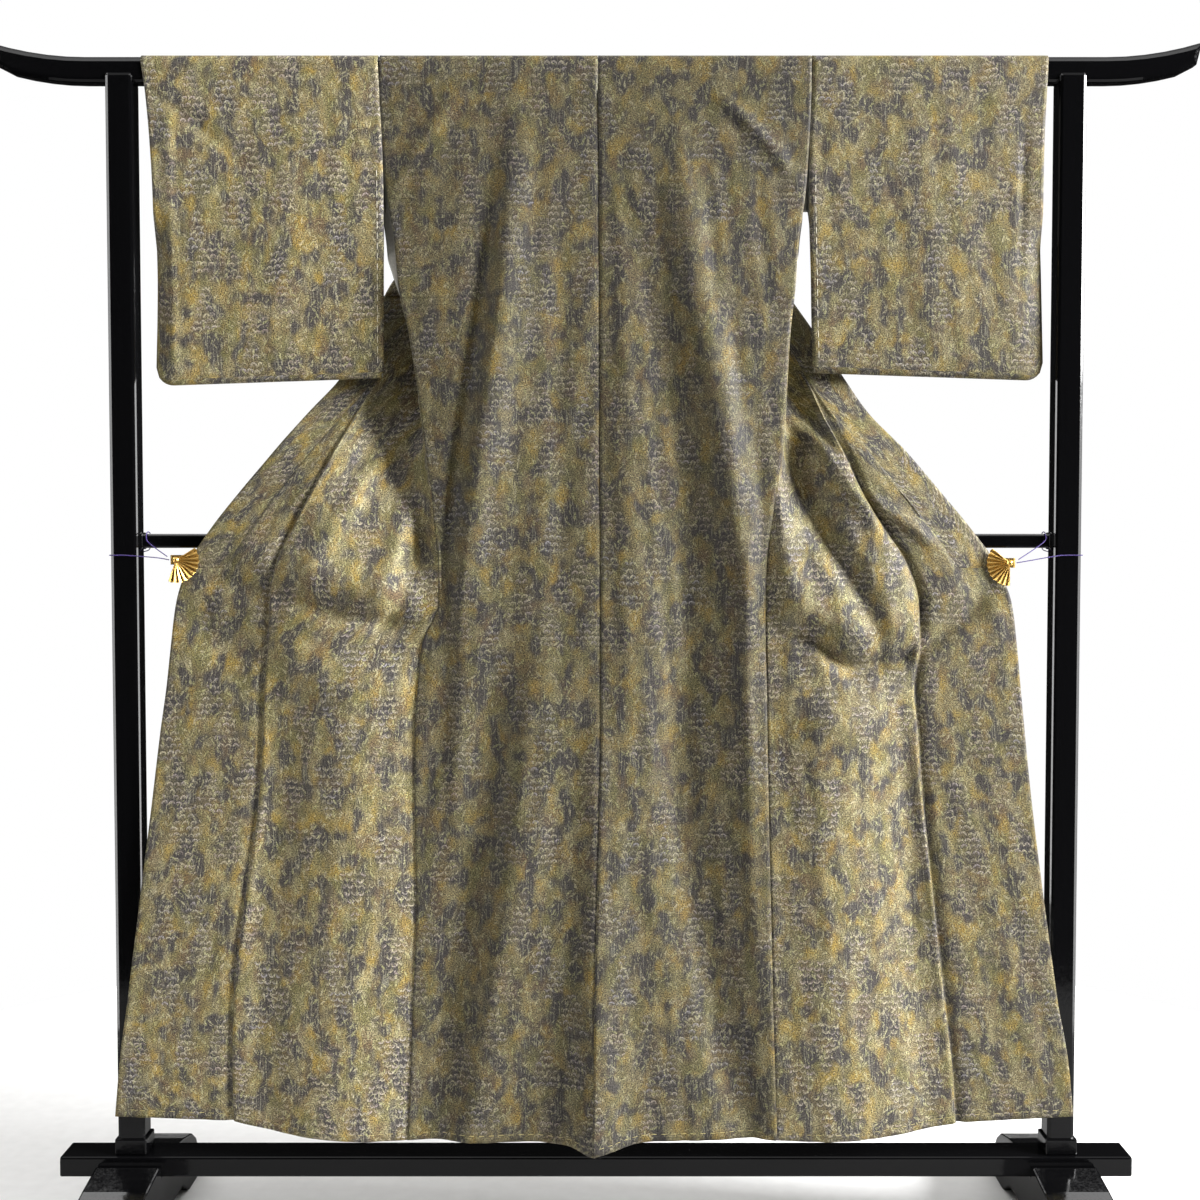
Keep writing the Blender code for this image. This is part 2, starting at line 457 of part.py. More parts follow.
def body_grid(side):
    """Rows of one half of the body, from the back hem over the shoulder to the front hem."""
    shares = shoulder_shares()
    rows = []
    for z in (HEM_Z,) + LEVELS:
        rows.append([back_point(side, s, hung(z, back_hem(s))) for s in shares])
    for y, z in rail_wrap():
        rows.append([Vector((p.x, y, z)) for p in rows[len(LEVELS)]])
    # The fronts start at the neck's corner and leave out the neck columns.
    front_shares = [(1.0 - s) / (1.0 - shares[NECK_COLUMNS]) for s in shares[NECK_COLUMNS:]]
    for z in tuple(reversed(LEVELS)) + (HEM_Z,):
        row = front_row(side, z, front_shares)
        for share, point in zip(front_shares, row):
            point.z = hung(z, front_hem(side, share))
        rows.append([None] * NECK_COLUMNS + row)
    return rows


def overlap_points(side, z):
    """Seam, collar line and free edge of a front at one height."""
    table, sign = FRONT[side], SIGN[side]
    seam = Vector((sign * (table.at(z, "okumi_out") + SEAM), table.at(z, "okumi_y") + LAP, z))
    collar = Vector((sign * table.at(z, "collar_out"), table.at(z, "collar_y") + COLLAR_LAP, z))
    edge = Vector((sign * table.at(z, "edge_out"), table.at(z, "edge_y"), z))
    return seam, collar, edge


def overlap_grid(side):
    """Rows of an overlap panel, hem upwards; above the collar's end its outer part is absent."""
    rows = []
    hem = FRONT_HEM_OUT_Z[side]
    for level in [z for z in (HEM_Z,) + LEVELS if z <= KENSAKI_Z]:
        seam, collar, edge = overlap_points(side, level)
        width = (edge - seam).length
        row = []
        for j in range(2 * OVERLAP_COLUMNS + 1):
            if j <= OVERLAP_COLUMNS:
                point = seam.lerp(collar, j / OVERLAP_COLUMNS)
            else:
                point = collar.lerp(edge, j / OVERLAP_COLUMNS - 1)
            at = min(1.0, (point - seam).length / width)
            calm = min(1.0, at / OVERLAP_CALM[0], (1.0 - at) / OVERLAP_CALM[1])
            point.y -= sag_rise(OVERLAP_SAGS[side], at, level) * calm
            point.z = hung(level, hem + (EDGE_HEM_Z - hem) * at)
            row.append(point)
        if level > COLLAR_END_Z:
            row = row[:OVERLAP_COLUMNS + 1] + [None] * OVERLAP_COLUMNS
        rows.append(row)
    return rows


# --- collar -----------------------------------------------------------------------------------
def collar_stations(side):
    """(sewn edge, free edge) of the collar from its lower end up to the neck's middle."""
    sign = SIGN[side]
    stations = []
    levels = [COLLAR_END_Z + 4 * SEAM] + [z for z in LEVELS if z > COLLAR_END_Z]
    for z in levels:
        _, collar, edge = overlap_points(side, z)
        collar.y -= COLLAR_LAP
        clear = (edge - collar).normalized() * (CLOTH / 2 + COLLAR_CLOTH / 4)
        stations.append((collar + clear, edge))
    for seam_out, seam_y, seam_z, fall_out, fall_y, fall_z in reversed(NECK_STATIONS):
        stations.append((Vector((sign * seam_out, seam_y, seam_z)),
                         Vector((sign * fall_out, fall_y, fall_z))))
    return stations


def collar_grid(columns=3, lowest=0.0, start=0.0):
    """Rows of the whole collar, from the left clip round the neck to the right clip."""
    left = [s for s in collar_stations("left") if s[0].z >= lowest]
    right = [s for s in collar_stations("right") if s[0].z >= lowest]
    rows = []
    for seam, free in left + right[-2::-1]:
        rows.append([seam.lerp(free, start + (1 - start) * j / columns)
                     for j in range(columns + 1)])
    return rows


def moved_out(rows, distance):
    """The same rows, moved along the surface's normals."""
    result = []
    for i, row in enumerate(rows):
        above, below = rows[min(i + 1, len(rows) - 1)], rows[max(i - 1, 0)]
        moved = []
        for j, point in enumerate(row):
            along = above[j] - below[j]
            across = row[min(j + 1, len(row) - 1)] - row[max(j - 1, 0)]
            moved.append(point + along.cross(across).normalized() * distance)
        result.append(moved)
    return result


# --- sleeves ----------------------------------------------------------------------------------
def sleeve_bottom(side, share):
    """Height of a sleeve's lower edge, with the round corner below the cuff."""
    inner, cuff = SLEEVE_BOTTOM[side]
    level = inner + (cuff - inner) * share
    width = SLEEVE.at(1.3, side + "_cuff") - SLEEVE.at(1.3, side + "_in")
    from_corner = SLEEVE_CORNER - (1.0 - share) * width
    if from_corner > 0.0:
        level += SLEEVE_CORNER - math.sqrt(max(0.0, SLEEVE_CORNER ** 2 - from_corner ** 2))
    return level


def sleeve_point(side, share, z, face):
    """A point of a sleeve's layer; face is -1 for the layer that faces -Y and 1 for the other."""
    out = SLEEVE.at(z, side + "_in") * (1 - share) + SLEEVE.at(z, side + "_cuff") * share
    width = SLEEVE.at(z, side + "_cuff") - SLEEVE.at(z, side + "_in")
    gap = SLEEVE.at(z, "half_gap")
    shut = min(1.0, max(0.0, (CUFF_OPEN_Z - z) / 0.05))
    near_cuff = max(0.0, 1.0 - (1.0 - share) * width / CUFF_EASE)
    gap += (CUFF_SHUT_HALF - gap) * shut * near_cuff ** 2
    return Vector((SIGN[side] * out, face * gap, z))


def sleeve_grid(side):
    """A closed loop of rows: up the -Y layer, over the rail, down the other, round the bottom."""
    wrap = rail_wrap()
    top = wrap[0][1]
    rows = []
    for face, order in ((-1, SLEEVE_SHARES[:-1]), (1, SLEEVE_SHARES[-2::-1])):
        layer = []
        for f in order:
            row = []
            for s in SLEEVE_ACROSS:
                low = sleeve_bottom(side, s)
                turn = sleeve_point(side, s, low + SLEEVE_TURN, -1).y
                base = low + abs(turn)
                row.append(sleeve_point(side, s, base + (top - base) * f, face))
            layer.append(row)
        rows.append(layer)
    over = [[Vector((sleeve_point(side, s, z, 1).x, y, z)) for s in SLEEVE_ACROSS] for y, z in wrap]
    bottom = []
    for angle in (math.radians(45), math.radians(90), math.radians(135)):
        row = []
        for s in SLEEVE_ACROSS:
            low = sleeve_bottom(side, s)
            point = sleeve_point(side, s, low + SLEEVE_TURN, 1)
            radius = point.y
            row.append(Vector((point.x, radius * math.cos(angle),
                               low + radius * (1 - math.sin(angle)))))
        bottom.append(row)
    return rows[0] + over + rows[1] + bottom


# --- making objects ---------------------------------------------------------------------------
def material(name):
    """The material of a name, made the first time it is asked for."""
    found = bpy.data.materials.get(name)
    if found:
        return found
    colour, roughness, metallic = COLOURS[name]
    made = bpy.data.materials.new(name)
    made.use_nodes = True
    shader = made.node_tree.nodes["Principled BSDF"]
    shader.inputs["Base Color"].default_value = (*colour, 1.0)
    shader.inputs["Roughness"].default_value = roughness
    shader.inputs["Metallic"].default_value = metallic
    return made


def place(obj, finish, collection):
    """Give an object its material and put it in the model's collection only."""
    for other in list(obj.users_collection):
        other.objects.unlink(obj)
    collection.objects.link(obj)
    obj.data.materials.clear()
    obj.data.materials.append(material(finish))
    return obj


def cloth_sheet(name, rows, collection, finish="silk", wall=CLOTH, closed=False):
    """A thin wall on rows of points; a cell with an absent corner is left out."""
    mesh = bpy.data.meshes.new(name)
    bm = bmesh.new()
    verts = [[bm.verts.new(p) if p is not None else None for p in row] for row in rows]
    pairs = list(zip(verts, verts[1:]))
    if closed:
        pairs.append((verts[-1], verts[0]))
    for low, high in pairs:
        for j in range(len(low) - 1):
            corners = (low[j], low[j + 1], high[j + 1], high[j])
            if all(corners):
                bm.faces.new(corners)
    bmesh.ops.delete(bm, geom=[v for v in bm.verts if not v.link_faces], context="VERTS")
    bm.to_mesh(mesh)
    bm.free()
    mesh.shade_smooth()
    obj = bpy.data.objects.new(name, mesh)
    shell = obj.modifiers.new("wall", "SOLIDIFY")
    shell.thickness = wall
    shell.offset = 0.0
    return place(obj, finish, collection)


def block(name, size, centre, collection, bevel=0.0, finish="lacquer"):
    """A box with its edges rounded off."""
    bpy.ops.mesh.primitive_cube_add(size=1.0, location=centre)
    obj = bpy.context.object
    obj.name = obj.data.name = name
    obj.data.transform(Matrix.Diagonal((*size, 1.0)))
    if bevel:
        edge = obj.modifiers.new("edge", "BEVEL")
        edge.width = bevel
        edge.segments = 2
    return place(obj, finish, collection)


def boolean(obj, other, operation):
    """Join another solid to an object or cut it away, and drop the other."""
    change = obj.modifiers.new(operation.lower(), "BOOLEAN")
    change.operation = operation
    change.solver = "EXACT"
    change.object = other
    freeze(obj)
    bpy.data.objects.remove(other)
    return obj


def freeze(obj):
    """Replace an object's mesh by its evaluated one."""
    graph = bpy.context.evaluated_depsgraph_get()
    mesh = bpy.data.meshes.new_from_object(obj.evaluated_get(graph))
    obj.modifiers.clear()
    obj.data = mesh
    return obj


def outline_solid(name, points, thickness, collection, finish="lacquer", edge_round=0.0):
    """A flat outline (closed, in its own XY plane) extruded to a thickness, as a mesh."""
    curve = bpy.data.curves.new(name, "CURVE")
    curve.dimensions = "2D"
    curve.fill_mode = "BOTH"
    curve.extrude = thickness / 2 - edge_round
    curve.bevel_depth = edge_round
    curve.bevel_resolution = 2
    curve.offset = -edge_round
    spline = curve.splines.new("POLY")
    spline.points.add(len(points) - 1)
    for target, (x, y) in zip(spline.points, points):
        target.co = (x, y, 0.0, 1.0)
    spline.use_cyclic_u = True
    drawn = bpy.data.objects.new(name + "_outline", curve)
    collection.objects.link(drawn)
    graph = bpy.context.evaluated_depsgraph_get()
    mesh = bpy.data.meshes.new_from_object(drawn.evaluated_get(graph))
    bpy.data.objects.remove(drawn)
    bm = bmesh.new()
    bm.from_mesh(mesh)
    bmesh.ops.remove_doubles(bm, verts=bm.verts, dist=0.00001)
    bm.to_mesh(mesh)
    bm.free()
    mesh.name = name
    obj = bpy.data.objects.new(name, mesh)
    return place(obj, finish, collection)


def stand_up(obj, columns):
    """Turn an object's own axes to the three given directions."""
    obj.data.transform(Matrix(columns).transposed().to_4x4())
    return obj


# --- the rack ---------------------------------------------------------------------------------
def rail_lift(x):
    """How far the rail's line has risen at a distance from the middle."""
    past = max(0.0, abs(x) - (RAIL_LENGTH / 2 - RAIL_TIP_RUN)) / RAIL_TIP_RUN
    return RAIL_TIP_RISE * past ** 2


def make_rail(collection):
    """The top rail: level, with both ends curving up to slanted tips."""
    half = RAIL_LENGTH / 2
    steps = 5
    tip = [half - RAIL_TIP_RUN * (1 - k / steps) for k in range(steps + 1)]
    top = [(x, RAIL_Z[1] + rail_lift(x)) for x in tip]
    bottom = [(x - RAIL_TIP_SLANT * k / steps, RAIL_Z[0] + rail_lift(x)) for k, x in enumerate(tip)]
    bottom[-1] = (bottom[-1][0], bottom[-1][1] + RAIL_TIP_THIN)
    right = bottom + top[::-1]
    left = [(-x, z) for x, z in right][::-1]
    rail = outline_solid("top_rail", right + left, RAIL_DEPTH, collection, edge_round=RAIL_ROUND)
    return stand_up(rail, ((1, 0, 0), (0, 0, 1), (0, -1, 0)))


def make_post(side, collection):
    """A square post with a wider foot ring and two cheeks that clasp the rail."""
    x = SIGN[side] * POST_SPACING / 2
    foot = BOARD_Z + BOARD_SIZE[2] + TOUCH
    top = RAIL_Z[0] + POST_CHEEK
    name = "post_" + side
    post = block(name, (POST_SIZE, POST_SIZE, top - foot), (x, 0, (top + foot) / 2), collection,
                 bevel=0.005)
    width, height = POST_SOCKET
    ring = block(name + "_ring", (width, width, height), (x, 0, foot + height / 2), collection,
                 bevel=0.002)
    boolean(post, ring, "UNION")
    gap = 2 * TOUCH
    saddle = block(name + "_saddle", (0.08, RAIL_DEPTH + gap, 0.08),
                   (x, 0, RAIL_Z[0] - TOUCH + 0.04), collection)
    boolean(post, saddle, "DIFFERENCE")
    return post


def make_cross_bar(collection):
    """The middle bar between the posts, with a small block at each end."""
    height, depth = CROSS_BAR_SIZE
    length = POST_SPACING - POST_SIZE - 2 * TOUCH
    bar = block("cross_bar", (length, depth, height), (0, 0, CROSS_BAR_Z), collection,
                bevel=0.003)
    block_length, block_size = CROSS_BAR_COLLAR
    for sign in (-1, 1):
        x = sign * (length - block_length) / 2
        end = block("bar_end", (block_length, block_size, block_size), (x, 0, CROSS_BAR_Z),
                    collection, bevel=0.002)
        boolean(bar, end, "UNION")
    return bar


def make_board(collection):
    """The long board that joins the two feet."""
    centre = (0, 0, BOARD_Z + BOARD_SIZE[2] / 2)
    return block("base_board", BOARD_SIZE, centre, collection, bevel=0.003)


def make_foot(side, collection):
    """A low arched foot that lies across the board's line, notched for the board."""
    notch = BOARD_SIZE[1] / 2 + TOUCH
    seat = BOARD_Z - TOUCH
    end = FOOT_HALF_LENGTH
    half = [(0.0, 0.020), (0.095, 0.020), (0.130, 0.0), (end, 0.0), (end, 0.024),
            (end - 0.006, 0.046), (end - 0.020, 0.066), (end - 0.045, 0.082),
            (0.105, 0.093), (notch + 0.010, FOOT_TOP), (notch, FOOT_TOP - 0.002), (notch, seat)]
    points = half + [(-y, z) for y, z in half[:0:-1]]
    foot = outline_solid("foot_" + side, points, FOOT_WIDTH, collection)
    stand_up(foot, ((0, 1, 0), (0, 0, 1), (1, 0, 0)))
    foot.data.transform(Matrix.Translation((SIGN[side] * POST_SPACING / 2, 0, 0)))
    edge = foot.modifiers.new("edge", "BEVEL")
    edge.width = 0.004
    edge.segments = 2
    edge.limit_method = "ANGLE"
    edge.angle_limit = math.radians(50)
    return foot


# --- clips and cords --------------------------------------------------------------------------
def clip_place(side):
    """The fan's hub, just outside the free edge of the front at the clip level."""
    table = FRONT[side]
    z = CLIP_Z[side]
    return Vector((SIGN[side] * (table.at(z, "edge_out") + CLIP_OVERHANG), table.at(z, "edge_y"),
                   z))


def make_fan(side, collection):
    """A pleated fan plate in front of the cloth."""
    hub = clip_place(side)
    sign = SIGN[side]
    first, last = FAN_SPREAD[side]
    count = 2 * FAN_PLEATS
    front = hub.y - FAN_STAND_OFF
    rows = []
    for radius, relief in ((FAN_HUB, 0.2), (FAN_RADIUS * 0.55, 0.7), (FAN_RADIUS, 1.0)):
        row = []
        for k in range(count + 1):
            angle = math.radians(first + (last - first) * k / count)
            y = front + relief * FAN_RELIEF * (1 if k % 2 else -1)
            row.append(Vector((hub.x - sign * radius * math.cos(angle), y,
                               hub.z + radius * math.sin(angle))))
        rows.append(row)
    return cloth_sheet("fan_" + side, rows, collection, finish="gilt", wall=FAN_SHEET)


def make_clip(side, collection):
    """The sprung strip that holds the cloth, a narrow U seen from above."""
    hub = clip_place(side)
    sign = SIGN[side]
    half = CLIP_GAP / 2
    inner, outer = hub.x - sign * CLIP_REACH, hub.x + sign * 0.006
    sheet = CLIP_SHEET
    points = [(inner, -half - sheet), (outer, -half - sheet), (outer + sign * 0.003, -half * 0.5),
              (outer + sign * 0.003, half * 0.5), (outer, half + sheet), (inner, half + sheet),
              (inner, half), (outer - sign * sheet, half), (outer + sign * 0.0015, half * 0.4),
              (outer + sign * 0.0015, -half * 0.4), (outer - sign * sheet, -half),
              (inner, -half)]
    clip = outline_solid("clip_" + side, points, CLIP_JAW, collection, finish="gilt")
    clip.data.transform(Matrix.Translation((0, hub.y, hub.z)))
    return clip


def smooth_route(points, step):
    """Even points on a smooth curve through a cord's own route points."""
    dense = []
    for i in range(len(points) - 1):
        p0 = points[max(i - 1, 0)]
        p1, p2 = points[i], points[i + 1]
        p3 = points[min(i + 2, len(points) - 1)]
        for k in range(12):
            t = k / 12
            dense.append(0.5 * ((2 * p1) + (p2 - p0) * t + (2 * p0 - 5 * p1 + 4 * p2 - p3) * t * t
                                + (3 * p1 - p0 - 3 * p2 + p3) * t ** 3))
    dense.append(points[-1])
    lengths = [0.0]
    for a, b in zip(dense, dense[1:]):
        lengths.append(lengths[-1] + (b - a).length)
    count = max(2, round(lengths[-1] / step))
    places = [lengths[-1] * k / count for k in range(count + 1)]
    axes = [np.interp(places, lengths, [p[a] for p in dense]) for a in range(3)]
    return [Vector(p) for p in zip(*axes)]


def cord_route(side):
    """From the clip round the post, behind it, and back over the cross bar to the clip."""
    eye = clip_place(side)
    sign = SIGN[side]
    post = POST_SPACING / 2
    off = POST_SIZE / 2 + CORD_RADIUS + 0.0007
    bar = CROSS_BAR_Z + CROSS_BAR_SIZE[0] / 2 + CORD_RADIUS + 0.0007
    bar_front = CROSS_BAR_SIZE[1] / 2 + CORD_RADIUS + 0.0007
    tie = CORD_TIE_Z
    # (out, y, z), read along the cord
    route = (
        (abs(eye.x) + 0.0115, eye.y, eye.z + 0.000),
        (abs(eye.x) + 0.030, eye.y + 0.002, eye.z + 0.003),
        (post - off + 0.004, -off - 0.0012, tie - 0.001),
        (post, -off, tie),
        (post + off - 0.004, -off + 0.0002, tie),
        (post + off - 0.0002, -off + 0.0040, tie),
        (post + off, 0.0, tie),
        (post + off - 0.0002, off - 0.0040, tie),
        (post + off - 0.004, off - 0.0002, tie),
        (post, off, tie + 0.002),
        (post - off + 0.003, off + 0.0006, tie + 0.005),
        (CORD_BAR_OUT + 0.003, off - 0.0040, CROSS_BAR_Z - 0.012),
        (CORD_BAR_OUT + 0.001, bar_front + 0.0020, CROSS_BAR_Z),
        (CORD_BAR_OUT, bar_front + 0.0002, bar - 0.0022),
        (CORD_BAR_OUT, 0.0, bar + 0.0012),
        (CORD_BAR_OUT - 0.0005, -bar_front - 0.0002, bar - 0.0022),
        (CORD_BAR_OUT - 0.004, -bar_front - 0.0040, CROSS_BAR_Z - 0.002),
        (abs(eye.x) + 0.0145, eye.y + 0.001, eye.z + 0.0048),
    )
    return [Vector((sign * out, y, z)) for out, y, z in route]


def make_cord(side, collection):
    """The cord that ties a clip to the rack."""
    points = smooth_route(cord_route(side), CORD_STEP)
    curve = bpy.data.curves.new("cord_" + side, "CURVE")
    curve.dimensions = "3D"
    curve.bevel_depth = CORD_RADIUS
    curve.bevel_resolution = 1
    curve.use_fill_caps = True
    spline = curve.splines.new("POLY")
    spline.points.add(len(points) - 1)
    for target, point in zip(spline.points, points):
        target.co = (*point, 1.0)
    cord = bpy.data.objects.new("cord_" + side, curve)
    return place(cord, "violet_cord", collection)


def main():
    """Make every piece in an empty scene."""
    for obj in list(bpy.data.objects):
        bpy.data.objects.remove(obj)
    model = bpy.data.collections.new("silk_kimono_on_rack")
    bpy.context.scene.collection.children.link(model)
    make_rail(model)
    make_cross_bar(model)
    make_board(model)
    cloth_sheet("collar", collar_grid(), model, finish="silk_collar", wall=COLLAR_CLOTH)
    over = moved_out(collar_grid(lowest=OVER_COLLAR_Z, start=0.04), OVER_COLLAR_LIFT)
    cloth_sheet("over_collar", over, model, finish="silk_collar", wall=OVER_COLLAR_CLOTH)
    for side in ("left", "right"):
        make_post(side, model)
        make_foot(side, model)
        cloth_sheet("body_" + side, body_grid(side), model)
        cloth_sheet("okumi_" + side, overlap_grid(side), model)
        cloth_sheet("sleeve_" + side, sleeve_grid(side), model, closed=True)
        make_fan(side, model)
        make_clip(side, model)
        make_cord(side, model)


main()
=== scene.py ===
"""Looks of a silk kimono, back to the front, spread on a lacquered display rack.

The CAD frame gives every piece its place. Each cloth panel is made again here as a fine sheet on
its solid's form, with its creases, lining and basting. The fans and cords are made again in
detail, and the rack's own solids stay and are lacquered.

Metres, +Z up. The origin is on the floor, midway between the two posts. The garment's back faces
-Y. "Out" is the distance from the middle of the rack. Each panel's UV map is its cut, in metres of
cloth across and along it, so that the dyed pattern lies on a panel as it does on the bolt.
"""
import logging
import math
from collections.abc import Callable
from dataclasses import dataclass, field
from enum import Enum
from functools import partial

import bpy
import numpy as np
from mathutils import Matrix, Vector

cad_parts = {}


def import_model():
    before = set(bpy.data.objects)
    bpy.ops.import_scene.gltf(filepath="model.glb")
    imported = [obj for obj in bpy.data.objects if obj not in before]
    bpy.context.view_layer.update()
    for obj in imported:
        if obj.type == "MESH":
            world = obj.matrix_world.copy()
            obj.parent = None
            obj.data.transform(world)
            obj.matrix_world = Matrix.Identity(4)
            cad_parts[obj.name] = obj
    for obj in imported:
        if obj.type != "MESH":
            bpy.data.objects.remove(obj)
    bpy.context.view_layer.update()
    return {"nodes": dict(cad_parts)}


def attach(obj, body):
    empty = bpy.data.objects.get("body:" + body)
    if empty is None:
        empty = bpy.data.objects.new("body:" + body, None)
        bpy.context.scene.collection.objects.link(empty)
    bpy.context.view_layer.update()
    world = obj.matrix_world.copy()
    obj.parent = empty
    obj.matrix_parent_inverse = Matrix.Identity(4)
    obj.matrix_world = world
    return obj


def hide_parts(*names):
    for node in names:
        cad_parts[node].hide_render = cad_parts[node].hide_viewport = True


LOG = logging.getLogger("kimono")

Array = np.ndarray
Socket = bpy.types.NodeSocket
Material = bpy.types.Material
Piece = bpy.types.Object
Source = Socket | tuple | float | None
Adder = Callable[..., Socket]   # add_node for a certain tree

# --- sizes the part's source also has ---
SEAM = 0.0004
RIDGE_SEAM = 0.0010
RIDGE_TOP_Z = 0.60
LAP = 0.0021
COLLAR_LAP = 0.6 * LAP
HEM_Z = 0.150
HEM_MIDDLE_Z = 0.141
HEM_RISE_SHARE = 0.28
EDGE_HEM_Z = 0.178
HEM_BLEND_Z = 0.34
SIDE_OPENING_Z = 1.40
COLLAR_END_Z = 0.9925
KENSAKI_Z = 1.28
TOP_Z = 1.69
SHOULDER_HALF = 0.316
NECK_HALF = 0.090
OVER_COLLAR_Z = 1.40
CAD_CLOTH = 0.0016
RAIL_Z = (1.700, 1.738)
RAIL_DEPTH = 0.032
RAIL_ROUND = 0.008
POST_SPACING = 1.390
POST_SIZE = 0.040
CROSS_BAR_Z = 1.032
CROSS_BAR_SIZE = (0.021, 0.018)
TOUCH = 0.0003
CLIP_OVERHANG = 0.020
FAN_RADIUS = 0.034
FAN_STAND_OFF = 0.0067
CORD_RADIUS = 0.0009
CORD_TIE_Z = 1.011
CORD_BAR_OUT = 0.664
HOLD_SHARE = 0.12             # the back's folds die out over this share beside a side seam
HELD = 0.25                   # down to this much of their depth
FRONT_CALM = (0.08, 0.05)     # shares of a front beside its seams where its folds die out
OVERLAP_CALM = (0.12, 0.15)   # the same on an overlap panel

# --- sizes of the finer model ---
WALL = 0.0011             # silk and lining together
ROW_STEP = 0.0068         # height of a row of cells
TUCK_Z = 1.386            # the tuck sewn across the back inside; outside it shows as a fine line
TUCK_STEP = 0.0011
TUCK_FADE = 0.05          # above it the cloth is level again
PRESS_Z = 0.943           # crease of the folded garment
PRESS_DEPTH = 0.0006
PRESS_WIDTH = 0.004
OPENING_EASE = 0.025      # above the side seam the front comes out from behind the back
HEM_STITCH_UP = 0.0105    # basting above the hem
EDGE_STITCH_IN = 0.0095   # and inside a sleeve's edge
HANG_TOP_Z = 1.688        # above this the cloth lies on the rail and has no room behind it
ARMHOLE_Z = 1.548         # the sleeve is sewn to the body above this height
ALLOWANCE = 0.0050        # seam allowance pressed to one side
ALLOWANCE_SINK = 0.0016   # and how far behind its neighbour it lies
COLLAR_WALL = 0.0020      # the collar is folded double
OVER_COLLAR_LIFT = 0.0040


class Side(Enum):
    """The two halves of the garment, as the viewer of its back has them."""

    LEFT = "left"
    RIGHT = "right"

    @property
    def sign(self) -> float:
        """-1 on the left (-X), 1 on the right."""
        return -1.0 if self is Side.LEFT else 1.0


# depth of the dip beside an overlap panel's seam, and that panel's seam allowance
GROOVE_DEPTH = {Side.LEFT: 0.0045, Side.RIGHT: 0.0075}
OKUMI_ALLOWANCE = {Side.LEFT: 0.0050, Side.RIGHT: 0.0085}
FRONT_HEM_OUT_Z = {Side.LEFT: 0.171, Side.RIGHT: 0.168}
CLIP_Z = {Side.LEFT: 1.0045, Side.RIGHT: 1.0000}
FAN_SPREAD = {Side.LEFT: (-109.0, 32.0), Side.RIGHT: (-90.0, 39.0)}
SLEEVE_BOTTOM = {Side.LEFT: (1.2725, 1.2610), Side.RIGHT: (1.2800, 1.2685)}


def smooth_between(at: Array, keys: Array, values: Array) -> Array:
    """Monotone cubic through rows of values, held level beyond the first and last.

    Args:
        at: places to read, any shape.
        keys: places of the rows, rising.
        values: value of each row.

    Returns:
        The values at the places.
    """
    at = np.clip(np.asarray(at, dtype=float), keys[0], keys[-1])
    i = np.clip(np.searchsorted(keys, at, side="right") - 1, 0, len(keys) - 2)
    steps = np.diff(keys)
    slopes = np.diff(values) / steps
    before, after = slopes[:-1], slopes[1:]
    total = np.where(before + after == 0.0, 1.0, before + after)
    inner = np.where(before * after > 0.0, 2.0 * before * after / total, 0.0)
    tangents = np.concatenate((slopes[:1], inner, slopes[-1:]))
    h = steps[i]
    t = (at - keys[i]) / h
    return ((2 * t ** 3 - 3 * t ** 2 + 1) * values[i] + (t ** 3 - 2 * t ** 2 + t) * h * tangents[i]
            + (3 * t ** 2 - 2 * t ** 3) * values[i + 1] + (t ** 3 - t ** 2) * h * tangents[i + 1])


class Table:
    """Rows of named columns, read anywhere along the first one on a smooth curve."""

    def __init__(self, columns: str, rows: tuple) -> None:
        """Take the columns' names and the rows, each starting with its place."""
        self.columns = columns.split()
        self.data = np.array(rows, dtype=float)

    def at(self, key: Array, name: str) -> Array:
        """Values of a column.

        Args:
            key: places along the first column.
            name: the column to read.

        Returns:
            The values, in the shape of key.
        """
        return smooth_between(key, self.data[:, 0], self.data[:, self.columns.index(name)])


BACK = Table("z centre_x centre_y mid_y left_out right_out side_y", (
    (0.15, -0.006, -0.062, -0.057, 0.278, 0.267, -0.050),
    (0.25, -0.004, -0.062, -0.057, 0.273, 0.263, -0.050),
    (0.35, -0.003, -0.062, -0.058, 0.269, 0.260, -0.049),
    (0.50, 0.001, -0.060, -0.056, 0.263, 0.256, -0.048),
    (0.65, 0.005, -0.057, -0.054, 0.265, 0.252, -0.047),
    (0.75, 0.007, -0.055, -0.052, 0.265, 0.250, -0.046),
    (0.82, 0.007, -0.053, -0.051, 0.260, 0.249, -0.045),
    (0.88, 0.007, -0.052, -0.050, 0.254, 0.247, -0.045),
    (0.94, 0.007, -0.050, -0.049, 0.230, 0.247, -0.045),
    (1.00, 0.007, -0.048, -0.048, 0.230, 0.249, -0.044),
    (1.05, 0.007, -0.046, -0.047, 0.235, 0.255, -0.043),
    (1.10, 0.006, -0.044, -0.046, 0.239, 0.262, -0.042),
    (1.16, 0.006, -0.041, -0.045, 0.247, 0.271, -0.041),
    (1.22, 0.006, -0.039, -0.043, 0.255, 0.276, -0.039),
    (1.28, 0.006, -0.036, -0.041, 0.263, 0.279, -0.037),
    (1.34, 0.006, -0.033, -0.038, 0.273, 0.283, -0.034),
    (1.40, 0.006, -0.030, -0.034, 0.287, 0.290, -0.030),
    (1.47, 0.005, -0.026, -0.030, 0.294, 0.296, -0.024),
    (1.54, 0.005, -0.023, -0.025, 0.305, 0.306, -0.0182),
    (1.62, 0.004, -0.020, -0.021, 0.3115, 0.3115, -0.0176),
    (1.69, 0.003, -0.0182, -0.0182, 0.3150, 0.3140, -0.0174),
))

